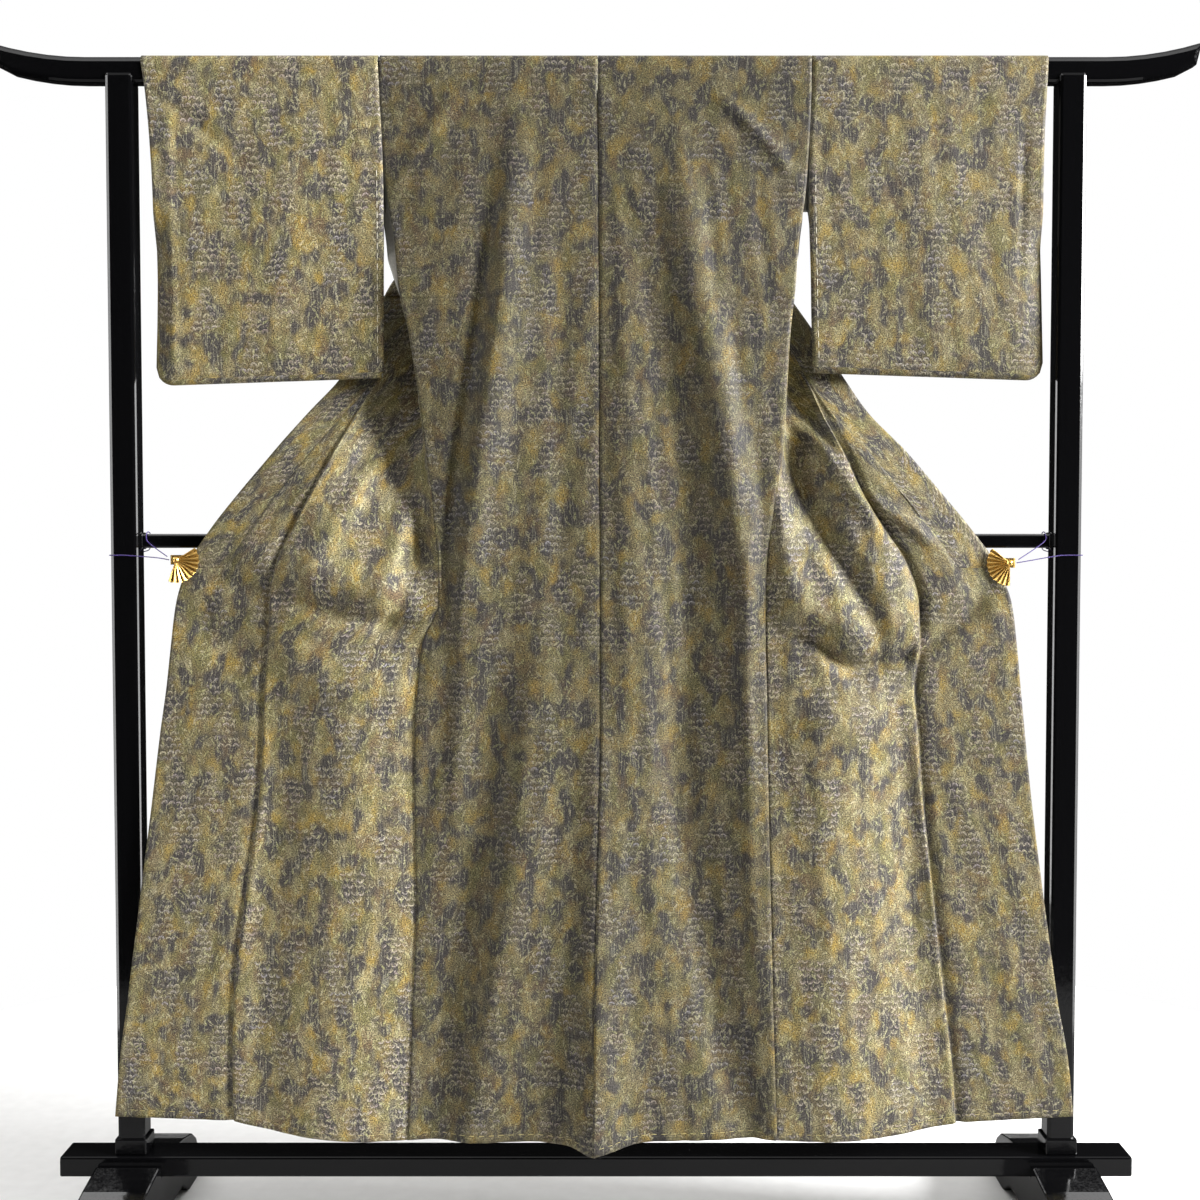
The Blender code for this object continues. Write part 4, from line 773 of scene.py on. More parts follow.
@dataclass
class Overlap:
    """The overlap panel (okumi) sewn to a front's free side.

    Attributes:
        cells: cells on either side of the collar line.
        groove_width: breadth of the dip beside the seam.
        groove_start: how far from the seam the dip is deepest.
        tip_calm: the stretch below the panel's tip where the dip dies out.
        collar_calm: height over which the folds retreat to the collar line.
    """

    side: Side
    cells: int = 17
    groove_width: float = 0.015
    groove_start: float = 0.0020
    tip_calm: float = 0.06
    collar_calm: float = 0.02

    def grid(self) -> Grid:
        """Lay out rows from the hem to the tip; the outer part ends at the collar's end.

        Returns:
            The panel.
        """
        side = self.side
        z = levels_between(HEM_Z, KENSAKI_Z)
        seam, collar, edge = overlap_points(side, z)
        even = np.linspace(0.0, 1.0, self.cells + 1)[None, :, None]
        inner = even ** 1.6   # finer cells in the dip
        points = np.concatenate((seam[:, None] + (collar - seam)[:, None] * inner,
                                 collar[:, None] + (edge - collar)[:, None] * even[:, 1:]), 1)
        width = np.linalg.norm(edge - seam, axis=1)[:, None]
        at = np.minimum(1.0, np.linalg.norm(points - seam[:, None], axis=2) / width)
        under = (z - COLLAR_END_Z + self.collar_calm) / self.collar_calm
        under = np.clip(under, 0.0, 1.0)[:, None]
        last = 1.0 + (at[:, self.cells:self.cells + 1] - 1.0) * under
        ends = np.minimum(at / OVERLAP_CALM[0], (last - at) / OVERLAP_CALM[1])
        ends = np.clip(ends, 0.0, 1.0)
        level = np.repeat(z[:, None], points.shape[1], axis=1)
        points[:, :, 1] -= folded(OVERLAP_SAGS[side], at, level) * ends
        tip = np.clip((KENSAKI_Z - self.tip_calm / 2 - level) / self.tip_calm, 0.0, 1.0)
        inside = at * width
        reach = np.minimum(self.groove_width, width * last)
        dip = np.minimum(inside / self.groove_start, np.maximum(0.0, 1.0 - inside / reach))
        points[:, :, 1] += GROOVE_DEPTH[side] * tip * dip
        hem = FRONT_HEM_OUT_Z[side]
        points[:, :, 2] = hung(level, hem + (EDGE_HEM_Z - hem) * at)
        gone = (z > COLLAR_END_Z)[:, None] & (np.arange(points.shape[1]) > self.cells)[None, :]
        points[gone] = np.nan
        across = lengths_along(points, 1)
        cut = np.stack((across, level - HEM_Z), 2)
        grid = Grid(points, cut, side.sign)
        return grid.moved(swell(across, level, 21 + int(side.sign)) * ends)


@dataclass
class Collar:
    """The collar, from the left clip round the neck to the right clip.

    Attributes:
        cells: cells across.
        row_step: height of a row of cells.
        reach: how far it passes behind the panels it is sewn to.
        behind: how far behind them it lies there.
        tapered: how much narrower its end is, over the height end_rise.
        turn_cells: rows from the shoulder to the neck's middle.
    """

    cells: int = 12
    row_step: float = 0.007
    reach: float = 0.0050
    behind: float = 0.0020
    tapered: float = 0.003
    end_rise: float = 0.02
    turn_cells: int = 15

    def stations(self, side: Side, lowest: float) -> tuple[Array, Array]:
        """Lay out one half, upwards to the neck's middle.

        Args:
            side: which half.
            lowest: height where it starts at the lowest.

        Returns:
            Points of the sewn edge and of the free edge.
        """
        first = max(COLLAR_END_Z - self.reach, lowest)
        z = np.linspace(first, TOP_Z, round((TOP_Z - first) / self.row_step))
        _, seam, edge = overlap_points(side, z)
        seam[:, 1] -= COLLAR_LAP
        reach = edge - seam
        reach /= np.linalg.norm(reach, axis=1)[:, None]
        seam = seam - reach * self.reach
        ease = np.clip((z - first) / self.end_rise, 0.0, 1.0)[:, None]
        edge = edge - reach * self.tapered * (1.0 - ease)
        behind = np.array((0.0, self.behind, 0.0))
        seam = seam + behind
        edge = edge + behind * (1.0 - ease)
        neck = np.array(NECK_STATIONS)[::-1]
        turn = np.array((side.sign, 1.0, 1.0))
        keys = np.array([0.0, 0.25, 0.6, 1.0])
        fine = np.linspace(0.0, 1.0, self.turn_cells + 1)[1:]
        seam_keys = np.concatenate((seam[-1:], neck[:, :3] * turn))
        edge_keys = np.concatenate((edge[-1:], neck[:, 3:] * turn))
        seam_turn = np.stack([smooth_between(fine, keys, seam_keys[:, a]) for a in range(3)], 1)
        edge_turn = np.stack([smooth_between(fine, keys, edge_keys[:, a]) for a in range(3)], 1)
        return np.concatenate((seam, seam_turn)), np.concatenate((edge, edge_turn))

    def grid(self, lowest: float = 0.0, start: float = 0.0) -> Grid:
        """Lay out rows from the left end to the right one, columns from the sewn edge on.

        Args:
            lowest: height where both ends lie.
            start: share of the width left out beside the sewn edge.

        Returns:
            The band.
        """
        left_seam, left_edge = self.stations(Side.LEFT, lowest)
        right_seam, right_edge = self.stations(Side.RIGHT, lowest)
        seam = np.concatenate((left_seam, right_seam[-2::-1]))
        edge = np.concatenate((left_edge, right_edge[-2::-1]))
        at = np.linspace(start, 1.0, self.cells + 1)[None, :, None]
        points = seam[:, None] + (edge - seam)[:, None] * at
        cut = np.stack((lengths_along(points, 1), lengths_along(points, 0)), 2)
        return Grid(points, cut, -1.0)


@dataclass
class Sleeve:
    """A sleeve: one loop of cloth over the rail, closed below and along the lower cuff.

    Attributes:
        cells: cells across.
        layer_rows: rows of cells in a layer.
        corner: radius of the round corner below the cuff.
        far_shift: the far layer's open edge hides this far behind the near one's.
        cuff_open_z: above this height the cuff is open.
        cuff_shut_half: half of the gap where it is sewn shut.
        cuff_ease: how far from the cuff the layers draw together.
        calm_rows: rows beside the rail and the lower edge where the cloth is drawn straight.
    """

    side: Side
    cells: int = 52
    layer_rows: int = 74
    corner: float = 0.026
    far_shift: float = 0.0042
    cuff_open_z: float = 1.51
    cuff_shut_half: float = 0.0013
    cuff_ease: float = 0.045
    calm_rows: int = 8

    def __post_init__(self) -> None:
        """Place the columns, closer together beside the cuff."""
        self.shares = np.concatenate((np.linspace(0.0, 0.88, self.cells - 8),
                                      np.linspace(0.88, 1.0, 10)[1:]))

    def bottom(self) -> Array:
        """Find the lower edge, with the round corner below the cuff.

        Returns:
            Its height at each share.
        """
        inner, cuff = SLEEVE_BOTTOM[self.side]
        name = self.side.value
        width = SLEEVE.at(1.3, name + "_cuff") - SLEEVE.at(1.3, name + "_in")
        past = np.maximum(0.0, self.corner - (1.0 - self.shares) * width)
        round_up = self.corner - np.sqrt(np.maximum(0.0, self.corner ** 2 - past ** 2))
        return inner + (cuff - inner) * self.shares + round_up

    def place(self, z: Array, face: float) -> Array:
        """Lay out a layer.

        Args:
            z: heights, rows x columns.
            face: -1 for the layer that looks to -Y, 1 for the other.

        Returns:
            The points.
        """
        name, share = self.side.value, self.shares[None, :]
        inner, cuff = SLEEVE.at(z, name + "_in"), SLEEVE.at(z, name + "_cuff")
        if face > 0:
            inner = inner + self.far_shift * np.clip((ARMHOLE_Z - z) / 0.05, 0.0, 1.0)
        out = inner * (1 - share) + cuff * share
        gap = SLEEVE.at(z, "half_gap")
        shut = np.clip((self.cuff_open_z - z) / 0.05, 0.0, 1.0)
        near_cuff = np.maximum(0.0, 1.0 - (1.0 - share) * (cuff - inner) / self.cuff_ease)
        gap = gap + (self.cuff_shut_half - gap) * shut * near_cuff ** 2
        return np.stack((self.side.sign * out, face * gap, z), 2)

    def grid(self) -> Grid:
        """Lay out the loop: up the -Y layer, over the rail, down the other, round the bottom.

        Returns:
            The sleeve.
        """
        low = self.bottom()[None, :]
        radius = np.abs(self.place(low + 0.004, -1)[:, :, 1])
        base = low + radius
        wrap = rail_wrap()
        top = wrap[0, 1]
        share = np.linspace(0.0, 1.0, self.layer_rows)[:-1, None]
        z = base + (top - base) * share
        near = self.place(z, -1)
        calm = (np.clip((z - base) / 0.02, 0.0, 1.0) * np.clip((1.70 - z) / 0.05, 0.0, 1.0)
                * np.clip((1.0 - self.shares) / 0.02, 0.0, 1.0))
        near[:, :, 1] -= folded(SLEEVE_FOLDS[self.side], z, np.abs(near[:, :, 0])) * calm
        far = self.place(z[::-1], 1)
        columns = len(self.shares)
        over = np.zeros((len(wrap), columns, 3))
        over[:, :, 0] = self.place(np.full((1, columns), top), 1)[:, :, 0]
        over[:, :, 1] = wrap[:, 0][:, None]
        over[:, :, 2] = wrap[:, 1][:, None]
        below = []
        for angle in np.radians([22.5, 45, 67.5, 90, 112.5, 135, 157.5]):
            point = self.place(low + 0.004, 1)[0]
            point[:, 1] = radius[0] * math.cos(angle)
            point[:, 2] = low[0] + radius[0] * (1 - math.sin(angle))
            below.append(point)
        points = np.concatenate((near, over, far, np.array(below)))
        across = lengths_along(points, 1)
        along = np.repeat(lengths_along(points[:, 20:21], 0), columns, axis=1)
        grid = Grid(points, np.stack((across, along), 2), self.side.sign, closed=True)
        still = np.ones(len(points))
        calm = self.calm_rows
        still[self.layer_rows - calm:self.layer_rows + len(wrap) + calm] = 0.0
        still[-calm:] = 0.0
        still[:3] = 0.0
        wide = np.clip((1.0 - self.shares) / 0.15, 0.0, 1.0)
        return grid.moved(swell(across, along, 31 + int(self.side.sign), 0.0005)
                          * still[:, None] * wide[None, :])

    def sewn(self, grid: Grid) -> Grid:
        """Add the allowance of the far layer, which closes the seam from behind.

        Args:
            grid: the sleeve.

        Returns:
            The sleeve as it is sewn.
        """
        edge = grid.points[:, 0]
        rows = (edge[:, 1] > 0.0) & (edge[:, 2] > ARMHOLE_Z - 0.03) & (edge[:, 2] < HANG_TOP_Z)
        return with_allowance(grid, rows, False, 2 * ALLOWANCE, ALLOWANCE_SINK)


# --- materials ---
def linear(code: str, alpha: float = 1.0) -> tuple:
    """Turn a display colour into a linear one.

    Args:
        code: the colour as six hexadecimal digits.
        alpha: its opacity.

    Returns:
        Red, green, blue and opacity.
    """
    shown = [int(code[i:i + 2], 16) / 255 for i in (0, 2, 4)]
    light = [c / 12.92 if c <= 0.04045 else ((c + 0.055) / 1.055) ** 2.4 for c in shown]
    return (*light, alpha)


def add_node(tree: bpy.types.NodeTree, kind: str, *sources: Source, out: int = 0,
             **settings: Source | str) -> Socket | None:
    """Add a shader node, set it up and fill its inputs in order.

    Args:
        tree: the material's or world's node tree.
        kind: the node's type after "ShaderNode".
        sources: a socket to link, a value to set, or None to leave the input alone.
        out: which of its outputs to return.
        settings: properties of the node, or inputs by name with blanks as underscores.

    Returns:
        The chosen output socket, or None from a node that has none.
    """
    node = tree.nodes.new("ShaderNode" + kind)
    named = {}
    for name, value in settings.items():
        if hasattr(node, name):
            setattr(node, name, value)
        else:
            named[name.replace("_", " ")] = value
    sockets = [s for s in node.inputs if s.enabled]
    pairs = list(zip(sockets, sources)) + [(node.inputs[n], v) for n, v in named.items()]
    for socket, source in pairs:
        if isinstance(source, Socket):
            tree.links.new(source, socket)
        elif source is not None:
            socket.default_value = source
    outputs = [s for s in node.outputs if s.enabled]
    return outputs[out] if outputs else None


def new_material(name: str) -> tuple[Material, Adder]:
    """Start a material.

    Args:
        name: its name.

    Returns:
        The material, and add_node for its empty node tree.
    """
    made = bpy.data.materials.new(name)
    made.use_nodes = True
    made.node_tree.nodes.clear()
    return made, partial(add_node, made.node_tree)


def lay_on(node: Adder, ground: Source, colour: Source, mask: Socket,
           opacity: float = 1.0) -> Socket:
    """Put a colour over the ground where a mask is bright.

    Args:
        node: adds a node to the material.
        ground: what is there already.
        colour: a colour, or the socket that gives it.
        mask: the socket of the mask.
        opacity: share of the colour at the brightest.

    Returns:
        The mixed colour's socket.
    """
    seen = node("Math", mask, opacity, operation="MULTIPLY")
    return node("Mix", seen, ground, colour, data_type="RGBA")


def times(node: Adder, *masks: Socket) -> Socket:
    """Multiply several masks.

    Args:
        node: adds a node to the material.
        masks: their sockets.

    Returns:
        The product's socket.
    """
    product = masks[0]
    for mask in masks[1:]:
        product = node("Math", product, mask, operation="MULTIPLY")
    return product


@dataclass(frozen=True)
class SilkColours:
    """Dyes of the patterned silk."""

    khaki: str = "948762"
    olive: str = "867f55"
    umber: str = "806c52"
    gold: str = "b99c50"
    straw: str = "beb48c"
    slate: str = "504c4d"
    stem: str = "a9a590"
    leaf: str = "c8c68c"
    cream: str = "dacfae"
    rose: str = "cfb3a2"
    mist: str = "bab7c1"


@dataclass(frozen=True)
class PatternedSilk:
    """Printed crepe silk: clouds of dye with flower spikes, stems and leaves over them.

    Hard-twisted weft shrinks when the silk is dyed and breaks the face into fine grain, so light
    spreads wide and the silk has a soft shine with a faint bloom where it turns away.
    Sizes are in millimetres of cloth.

    Attributes:
        cloud: breadth of a cloud of dye.
        patch: breadth of a dark patch.
        spike_cell: room that a flower spike has.
        spike_half_width: half of its breadth at the foot.
        spike_half_height: half of its height.
        petal: breadth and height of a petal's place.
        grain: breadth of a grain of the crepe.
        offset: where in the pattern this panel is cut.
        painted_light_tones: painted light; how far the colour is scaled at either end of the
        panel to stand for how brightly that part is lit.
        change: where along the panel one goes over into the other, in metres.
        fade: half of the length over which it does.
    """

    colours: SilkColours = SilkColours()
    cloud: float = 54.0
    patch: float = 25.0
    spike_cell: float = 64.0
    spike_half_width: float = 24.0
    spike_half_height: float = 38.0
    petal: tuple = (10.5, 9.5)
    grain: float = 1.9
    offset: tuple = (0.0, 0.0)
    painted_light_tones: tuple = (0.58, 0.58)
    change: float = 1.66
    fade: float = 0.10

    def build(self, name: str) -> Material:
        """Make the material.

        Args:
            name: its name.

        Returns:
            The material.
        """
        made, node = new_material(name)
        cut = node("UVMap", uv_map="cut")
        mm = node("VectorMath", cut, (1000.0, 1000.0, 0.0), (*self.offset, 0.0),
                  operation="MULTIPLY_ADD")
        # the dyes were brushed on by hand, so nothing runs quite straight
        drift = node("TexNoise", mm, 1 / 45, 1.0, out=1, noise_dimensions="2D")
        bent = node("VectorMath", drift, (7.0, 7.0, 0.0), mm, operation="MULTIPLY_ADD")
        printed = self.leaves(node, bent, self.flowers(node, bent, self.dyes(node, bent)))

        # crepe: real threads are a quarter of its finest grain and would be lost in any view
        grain = node("TexNoise", mm, 1 / self.grain, 1.0, 0.6, noise_dimensions="2D")
        tone = node("MapRange", grain, 0.28, 0.72, 0.25, 1.75)
        # painted light: the whole colour is scaled from one strength at one end of the panel to
        # another at the other, standing for how brightly each part is lit
        along = node("SeparateXYZ", cut, out=1)
        painted_light_scale = node("MapRange", along, self.change - self.fade, self.change + self.fade,
                    *self.painted_light_tones)
        # the painted light scales the printed colour together with the crepe's grain
        colour = node("VectorMath", printed, times(node, tone, painted_light_scale), operation="SCALE")
        relief = node("Bump", 0.35, 0.0006, None, grain)
        shader = node("BsdfPrincipled", Base_Color=colour, Normal=relief,
                      Roughness=0.62, Sheen_Weight=0.08, Sheen_Roughness=0.35,
                      Sheen_Tint=(1.0, 0.96, 0.86, 1.0), Specular_IOR_Level=0.24)
        node("OutputMaterial", shader)
        return made

    def dyes(self, node: Adder, bent: Socket) -> Socket:
        """Dye the ground: soft clouds, with dark patches where upright stems show.

        Args:
            node: adds a node to the material.
            bent: the place on the cloth.

        Returns:
            The colour's socket.
        """
        c = self.colours
        tall = node("VectorMath", bent, (1.0, 0.68, 0.0), operation="MULTIPLY")

        def cloud(size: float, seed: int, low: float, high: float,
                  detail: float = 2.0) -> Socket:
            """Make a mask of soft patches, a little taller than wide.

            Args:
                size: their breadth.
                seed: picks the patches.
                low: the noise where they begin.
                high: the noise where they are full.
                detail: how ragged they are.

            Returns:
                The mask's socket.
            """
            moved = node("VectorMath", tall, (seed * 371.0, seed * 153.0, 0.0), operation="ADD")
            noise = node("TexNoise", moved, 1 / size, detail, noise_dimensions="2D")
            return node("MapRange", noise, low, high, 0.0, 1.0, interpolation_type="SMOOTHSTEP")

        ground = node("Mix", cloud(self.cloud, 1, 0.35, 0.65), linear(c.khaki),
                      linear(c.olive), data_type="RGBA")
        # dye, its patches' breadth against a cloud's, seed, where they begin and are full, opacity
        for dye, share, seed, low, high, opacity in ((c.umber, 0.6, 2, 0.48, 0.75, 1.0),
                                                     (c.gold, 0.5, 3, 0.42, 0.80, 0.85),
                                                     (c.straw, 0.5, 5, 0.44, 0.84, 0.6)):
            ground = lay_on(node, ground, linear(dye),
                            cloud(self.cloud * share, seed, low, high), opacity)
        dark = cloud(self.patch, 4, 0.42, 0.66, 1.5)
        ground = lay_on(node, ground, linear(c.slate), dark, 0.92)
        # stems are 1.9 mm wide and run some 34 mm
        thin = node("VectorMath", bent, (1 / 1.9, 1 / 34.0, 0.0), operation="MULTIPLY")
        stem = node("TexNoise", thin, 1.0, 0.0, noise_dimensions="2D")
        stem = node("MapRange", stem, 0.58, 0.76, 0.0, 1.0, interpolation_type="SMOOTHSTEP")
        return lay_on(node, ground, linear(c.stem), times(node, stem, dark), 0.60)

    def flowers(self, node: Adder, bent: Socket, ground: Socket) -> Socket:
        """Print flower spikes: staggered rows of hooded petals inside a tall outline.

        Args:
            node: adds a node to the material.
            bent: the place on the cloth.
            ground: the colour so far.

        Returns:
            The new colour's socket.
        """
        c = self.colours
        room = node("VectorMath", bent, (1 / self.spike_cell, 1 / self.spike_cell, 0.0),
                    operation="MULTIPLY")
        spike_at = node("TexVoronoi", room, 1.0, Randomness=0.85, out=2, voronoi_dimensions="2D")
        own = node("VectorMath", room, spike_at, operation="SUBTRACT")
        own = node("VectorMath", own, (self.spike_cell, self.spike_cell, 0.0),
                   operation="MULTIPLY")
        own_x = node("SeparateXYZ", own)
        own_y = own_x.node.outputs[1]
        width = node("MapRange", own_y, -self.spike_half_height, self.spike_half_height,
                     self.spike_half_width, 4.0)
        edge = node("Math", width, node("Math", own_x, operation="ABSOLUTE"), operation="SUBTRACT")
        reach = node("Math", own_y, operation="ABSOLUTE")
        fates = node("TexWhiteNoise", spike_at, noise_dimensions="2D")
        shown = node("MapRange", fates, 0.10, 0.35, 0.0, 1.0)
        near = node("MapRange", edge, -8.0, 7.0, 0.0, 1.0, interpolation_type="SMOOTHSTEP")
        level = node("MapRange", reach, self.spike_half_height + 6.0,
                     self.spike_half_height - 8.0, 0.0, 1.0, interpolation_type="SMOOTHSTEP")
        ground = lay_on(node, ground, linear(c.slate), times(node, near, level, shown), 0.46)

        row = node("Math", own_y, 1 / self.petal[1], operation="MULTIPLY")
        row_at = node("Math", row, operation="FLOOR")
        stagger = node("Math", row_at, 0.5, operation="MULTIPLY")
        column = node("Math", own_x, 1 / self.petal[0], stagger, operation="MULTIPLY_ADD")
        column_at = node("Math", column, operation="FLOOR")
        which = node("TexWhiteNoise", node("CombineXYZ", column_at, row_at, fates), out=1,
                     noise_dimensions="3D")
        place = node("CombineXYZ", node("Math", column, operation="FRACT"),
                     node("Math", row, operation="FRACT"), 0.0)
        place = node("VectorMath", place, (*self.petal, 0.0),
                     (-self.petal[0] * 0.5 - 1.4, -self.petal[1] * 0.5 + 0.2, 0.0),
                     operation="MULTIPLY_ADD")
        place = node("VectorMath", which, (2.8, 2.4, 0.0), place, operation="MULTIPLY_ADD")
        distance = node("VectorMath", place, operation="LENGTH")
        hood = node("MapRange", distance, 5.2, 4.3, 0.0, 1.0)
        rim = node("MapRange", distance, 1.8, 4.4, 0.12, 1.0)
        upper = node("MapRange", node("SeparateXYZ", place, out=1), -1.6, 1.2, 0.0, 1.0)
        strong = node("SeparateXYZ", which)
        inside = node("MapRange", edge, -1.5, 2.0, 0.0, 1.0)
        ends = node("MapRange", reach, self.spike_half_height,
                    self.spike_half_height - 4.0, 0.0, 1.0)
        petal = times(node, hood, rim, upper, inside, ends, shown,
                      node("MapRange", strong, 0.0, 0.7, 0.25, 1.0))
        tint = node("Mix", fates, linear(c.rose), linear(c.mist), data_type="RGBA")
        tint = node("Mix", strong.node.outputs[1], tint, linear(c.cream), data_type="RGBA")
        return lay_on(node, ground, tint, petal, 0.90)

    def leaves(self, node: Adder, bent: Socket, ground: Socket) -> Socket:
        """Print pointed leaves in two sizes, each in its own cell and turned its own way.

        Args:
            node: adds a node to the material.
            bent: the place on the cloth.
            ground: the colour so far.

        Returns:
            The new colour's socket.
        """
        c = self.colours
        # mm of a cell and half a leaf, each across and up, then share of cells and opacity
        for cell, half, share, opacity in (((4.6, 9.0), (0.9, 4.2), 0.62, 0.46),
                                           ((11.0, 13.5), (1.9, 6.2), 0.45, 0.52)):
            cells = node("VectorMath", bent, (1 / cell[0], 1 / cell[1], 0.0), operation="MULTIPLY")
            at = node("TexVoronoi", cells, 1.0, out=2, voronoi_dimensions="2D")
            pick = node("SeparateXYZ", node("TexWhiteNoise", at, out=1, noise_dimensions="2D"))
            turn_pick, tint_pick = pick.node.outputs[1:3]
            local = node("VectorMath", cells, at, operation="SUBTRACT")
            local = node("VectorMath", local, (*cell, 0.0), operation="MULTIPLY")
            turn = node("MapRange", turn_pick, 0.0, 1.0, -1.1, 1.1)
            local = node("VectorRotate", local, (0.0, 0.0, 0.0), turn, rotation_type="Z_AXIS")
            local = node("VectorMath", local, (1 / half[0], 1 / half[1], 0.0),
                         operation="MULTIPLY")
            aside = node("SeparateXYZ", local)
            along = aside.node.outputs[1]
            aside = node("Math", aside, operation="ABSOLUTE")
            leaf = node("Math", along, along, aside, operation="MULTIPLY_ADD")
            leaf = node("MapRange", leaf, 1.10, 0.55, 0.0, 1.0)
            shown = node("Math", pick, share, operation="LESS_THAN")
            tint = node("Mix", tint_pick, linear(c.leaf), linear(c.cream), data_type="RGBA")
            ground = lay_on(node, ground, tint, times(node, leaf, shown), opacity)
        return ground


@dataclass(frozen=True)
class PlainCloth:
    """Plain silk: the lining, and the thread of the basting.

    Reeled filaments lie side by side and are not twisted, so the face is even and satiny with
    faint streaks lengthwise. A filament of 0.02 mm would be lost in any view, so the
    streaks are drawn 2.4 mm wide and 17 mm long.

    Attributes:
        streak: how much lighter or darker a streak is.
        streaks: how many there are to a metre, along each axis.
    """

    colour: str
    roughness: float = 0.55
    streak: float = 0.12
    streaks: tuple = (420.0, 420.0, 60.0)

    def build(self, name: str) -> Material:
        """Make the material.

        Args:
            name: its name.

        Returns:
            The material.
        """
        made, node = new_material(name)
        place = node("TexCoord", out=3)
        long = node("VectorMath", place, self.streaks, operation="MULTIPLY")
        thread = node("TexNoise", long, 1.0, 2.0)
        tone = node("MapRange", thread, 0.3, 0.7, 1 - self.streak, 1 + self.streak)
        colour = node("VectorMath", linear(self.colour)[:3], tone, operation="SCALE")
        relief = node("Bump", 0.25, 0.0003, None, thread)
        shader = node("BsdfPrincipled", Base_Color=colour, Normal=relief,
                      Roughness=self.roughness, Sheen_Weight=0.2, Specular_IOR_Level=0.4)
        node("OutputMaterial", shader)
        return made


@dataclass(frozen=True)
class Lacquer:
    """Black urushi: many thin coats, each rubbed with charcoal and the last with fine powder.

    The rubbing gives a deep black that mirrors clearly, with waves some 45 mm long that bend
    the mirrored edges and spots of 4 mm where the shine is duller.

    Attributes:
        waves: waves to a metre.
        spots: spots to a metre.
        gloss: roughness where the polish is best and worst.
    """

    colour: str = "070708"
    waves: float = 22.0
    spots: float = 260.0
    gloss: tuple = (0.07, 0.17)

    def build(self, name: str) -> Material:
        """Make the material.

        Args:
            name: its name.

        Returns:
            The material.
        """
        made, node = new_material(name)
        place = node("TexCoord", out=3)
        wave = node("TexNoise", place, self.waves, 2.0)
        spot = node("TexNoise", place, self.spots, 3.0)
        gloss = node("MapRange", spot, 0.35, 0.75, *self.gloss)
        relief = node("Bump", 0.08, 0.004, None, wave)
        shader = node("BsdfPrincipled", linear(self.colour), Roughness=gloss,
                      Normal=relief, Specular_IOR_Level=0.35)
        node("OutputMaterial", shader)
        return made


@dataclass(frozen=True)
class Gilt:
    """Thin brass sheet, pleated in a press and gilded.

    Handling leaves the gilding finely scratched, so its highlights are soft patches and not
    mirror images. A scratch of 0.05 mm would be lost, so they are drawn as grain of 1.1 mm.

    Attributes:
        scratches: grains to a metre.
        gloss: roughness of the smoothest and the most scratched grain.
    """

    colour: str = "dcb466"
    scratches: float = 900.0
    gloss: tuple = (0.20, 0.42)

    def build(self, name: str) -> Material:
        """Make the material.

        Args:
            name: its name.

        Returns:
            The material.
        """
        made, node = new_material(name)
        place = node("TexCoord", out=3)
        scratch = node("TexNoise", place, self.scratches, 3.0)
        rough = node("MapRange", scratch, 0.3, 0.7, *self.gloss)
        tone = node("MapRange", scratch, 0.3, 0.7, 0.82, 1.1)
        colour = node("VectorMath", linear(self.colour)[:3], tone, operation="SCALE")
        relief = node("Bump", 0.2, 0.0002, None, scratch)
        shader = node("BsdfPrincipled", Base_Color=colour, Metallic=1.0,
                      Roughness=rough, Normal=relief)
        node("OutputMaterial", shader)
        return made


@dataclass(frozen=True)
class TwistedCord:
    """Violet silk cord of twisted strands.

    Its filaments shade each other in the lay, so it looks soft and a little mottled. A
    filament of 0.02 mm would be lost, so the mottling is drawn as grain of 0.7 mm.

    Attributes:
        grains: grains to a metre.
    """

    colour: str = "3a2372"
    grains: float = 1500.0

    def build(self, name: str) -> Material:
        """Make the material.

        Args:
            name: its name.

        Returns:
            The material.
        """
        made, node = new_material(name)
        place = node("TexCoord", out=3)
        fibre = node("TexNoise", place, self.grains, 2.0)
        tone = node("MapRange", fibre, 0.3, 0.7, 0.7, 1.35)
        colour = node("VectorMath", linear(self.colour)[:3], tone, operation="SCALE")
        shader = node("BsdfPrincipled", Base_Color=colour, Roughness=0.55,
                      Sheen_Weight=0.3, Specular_IOR_Level=0.4)
        node("OutputMaterial", shader)
        return made


# --- making pieces ---
def link(obj: Piece) -> Piece:
    """Put an object in the scene and return it."""
    bpy.context.scene.collection.objects.link(obj)
    return obj


def raw_mesh(name: str, points: list, faces: list, materials: list,
             smooth: bool = True) -> Piece:
    """Make an object of points and faces.

    Args:
        name: its name.
        points: sequence of three numbers.
        faces: sequence of vertex numbers.
        materials: its material slots.
        smooth: shade it smooth.

    Returns:
        The object, in the scene.
    """
    mesh = bpy.data.meshes.new(name)
    mesh.from_pydata(points, [], faces)
    for made in materials:
        mesh.materials.append(made)
    if smooth:
        mesh.shade_smooth()
    return link(bpy.data.objects.new(name, mesh))


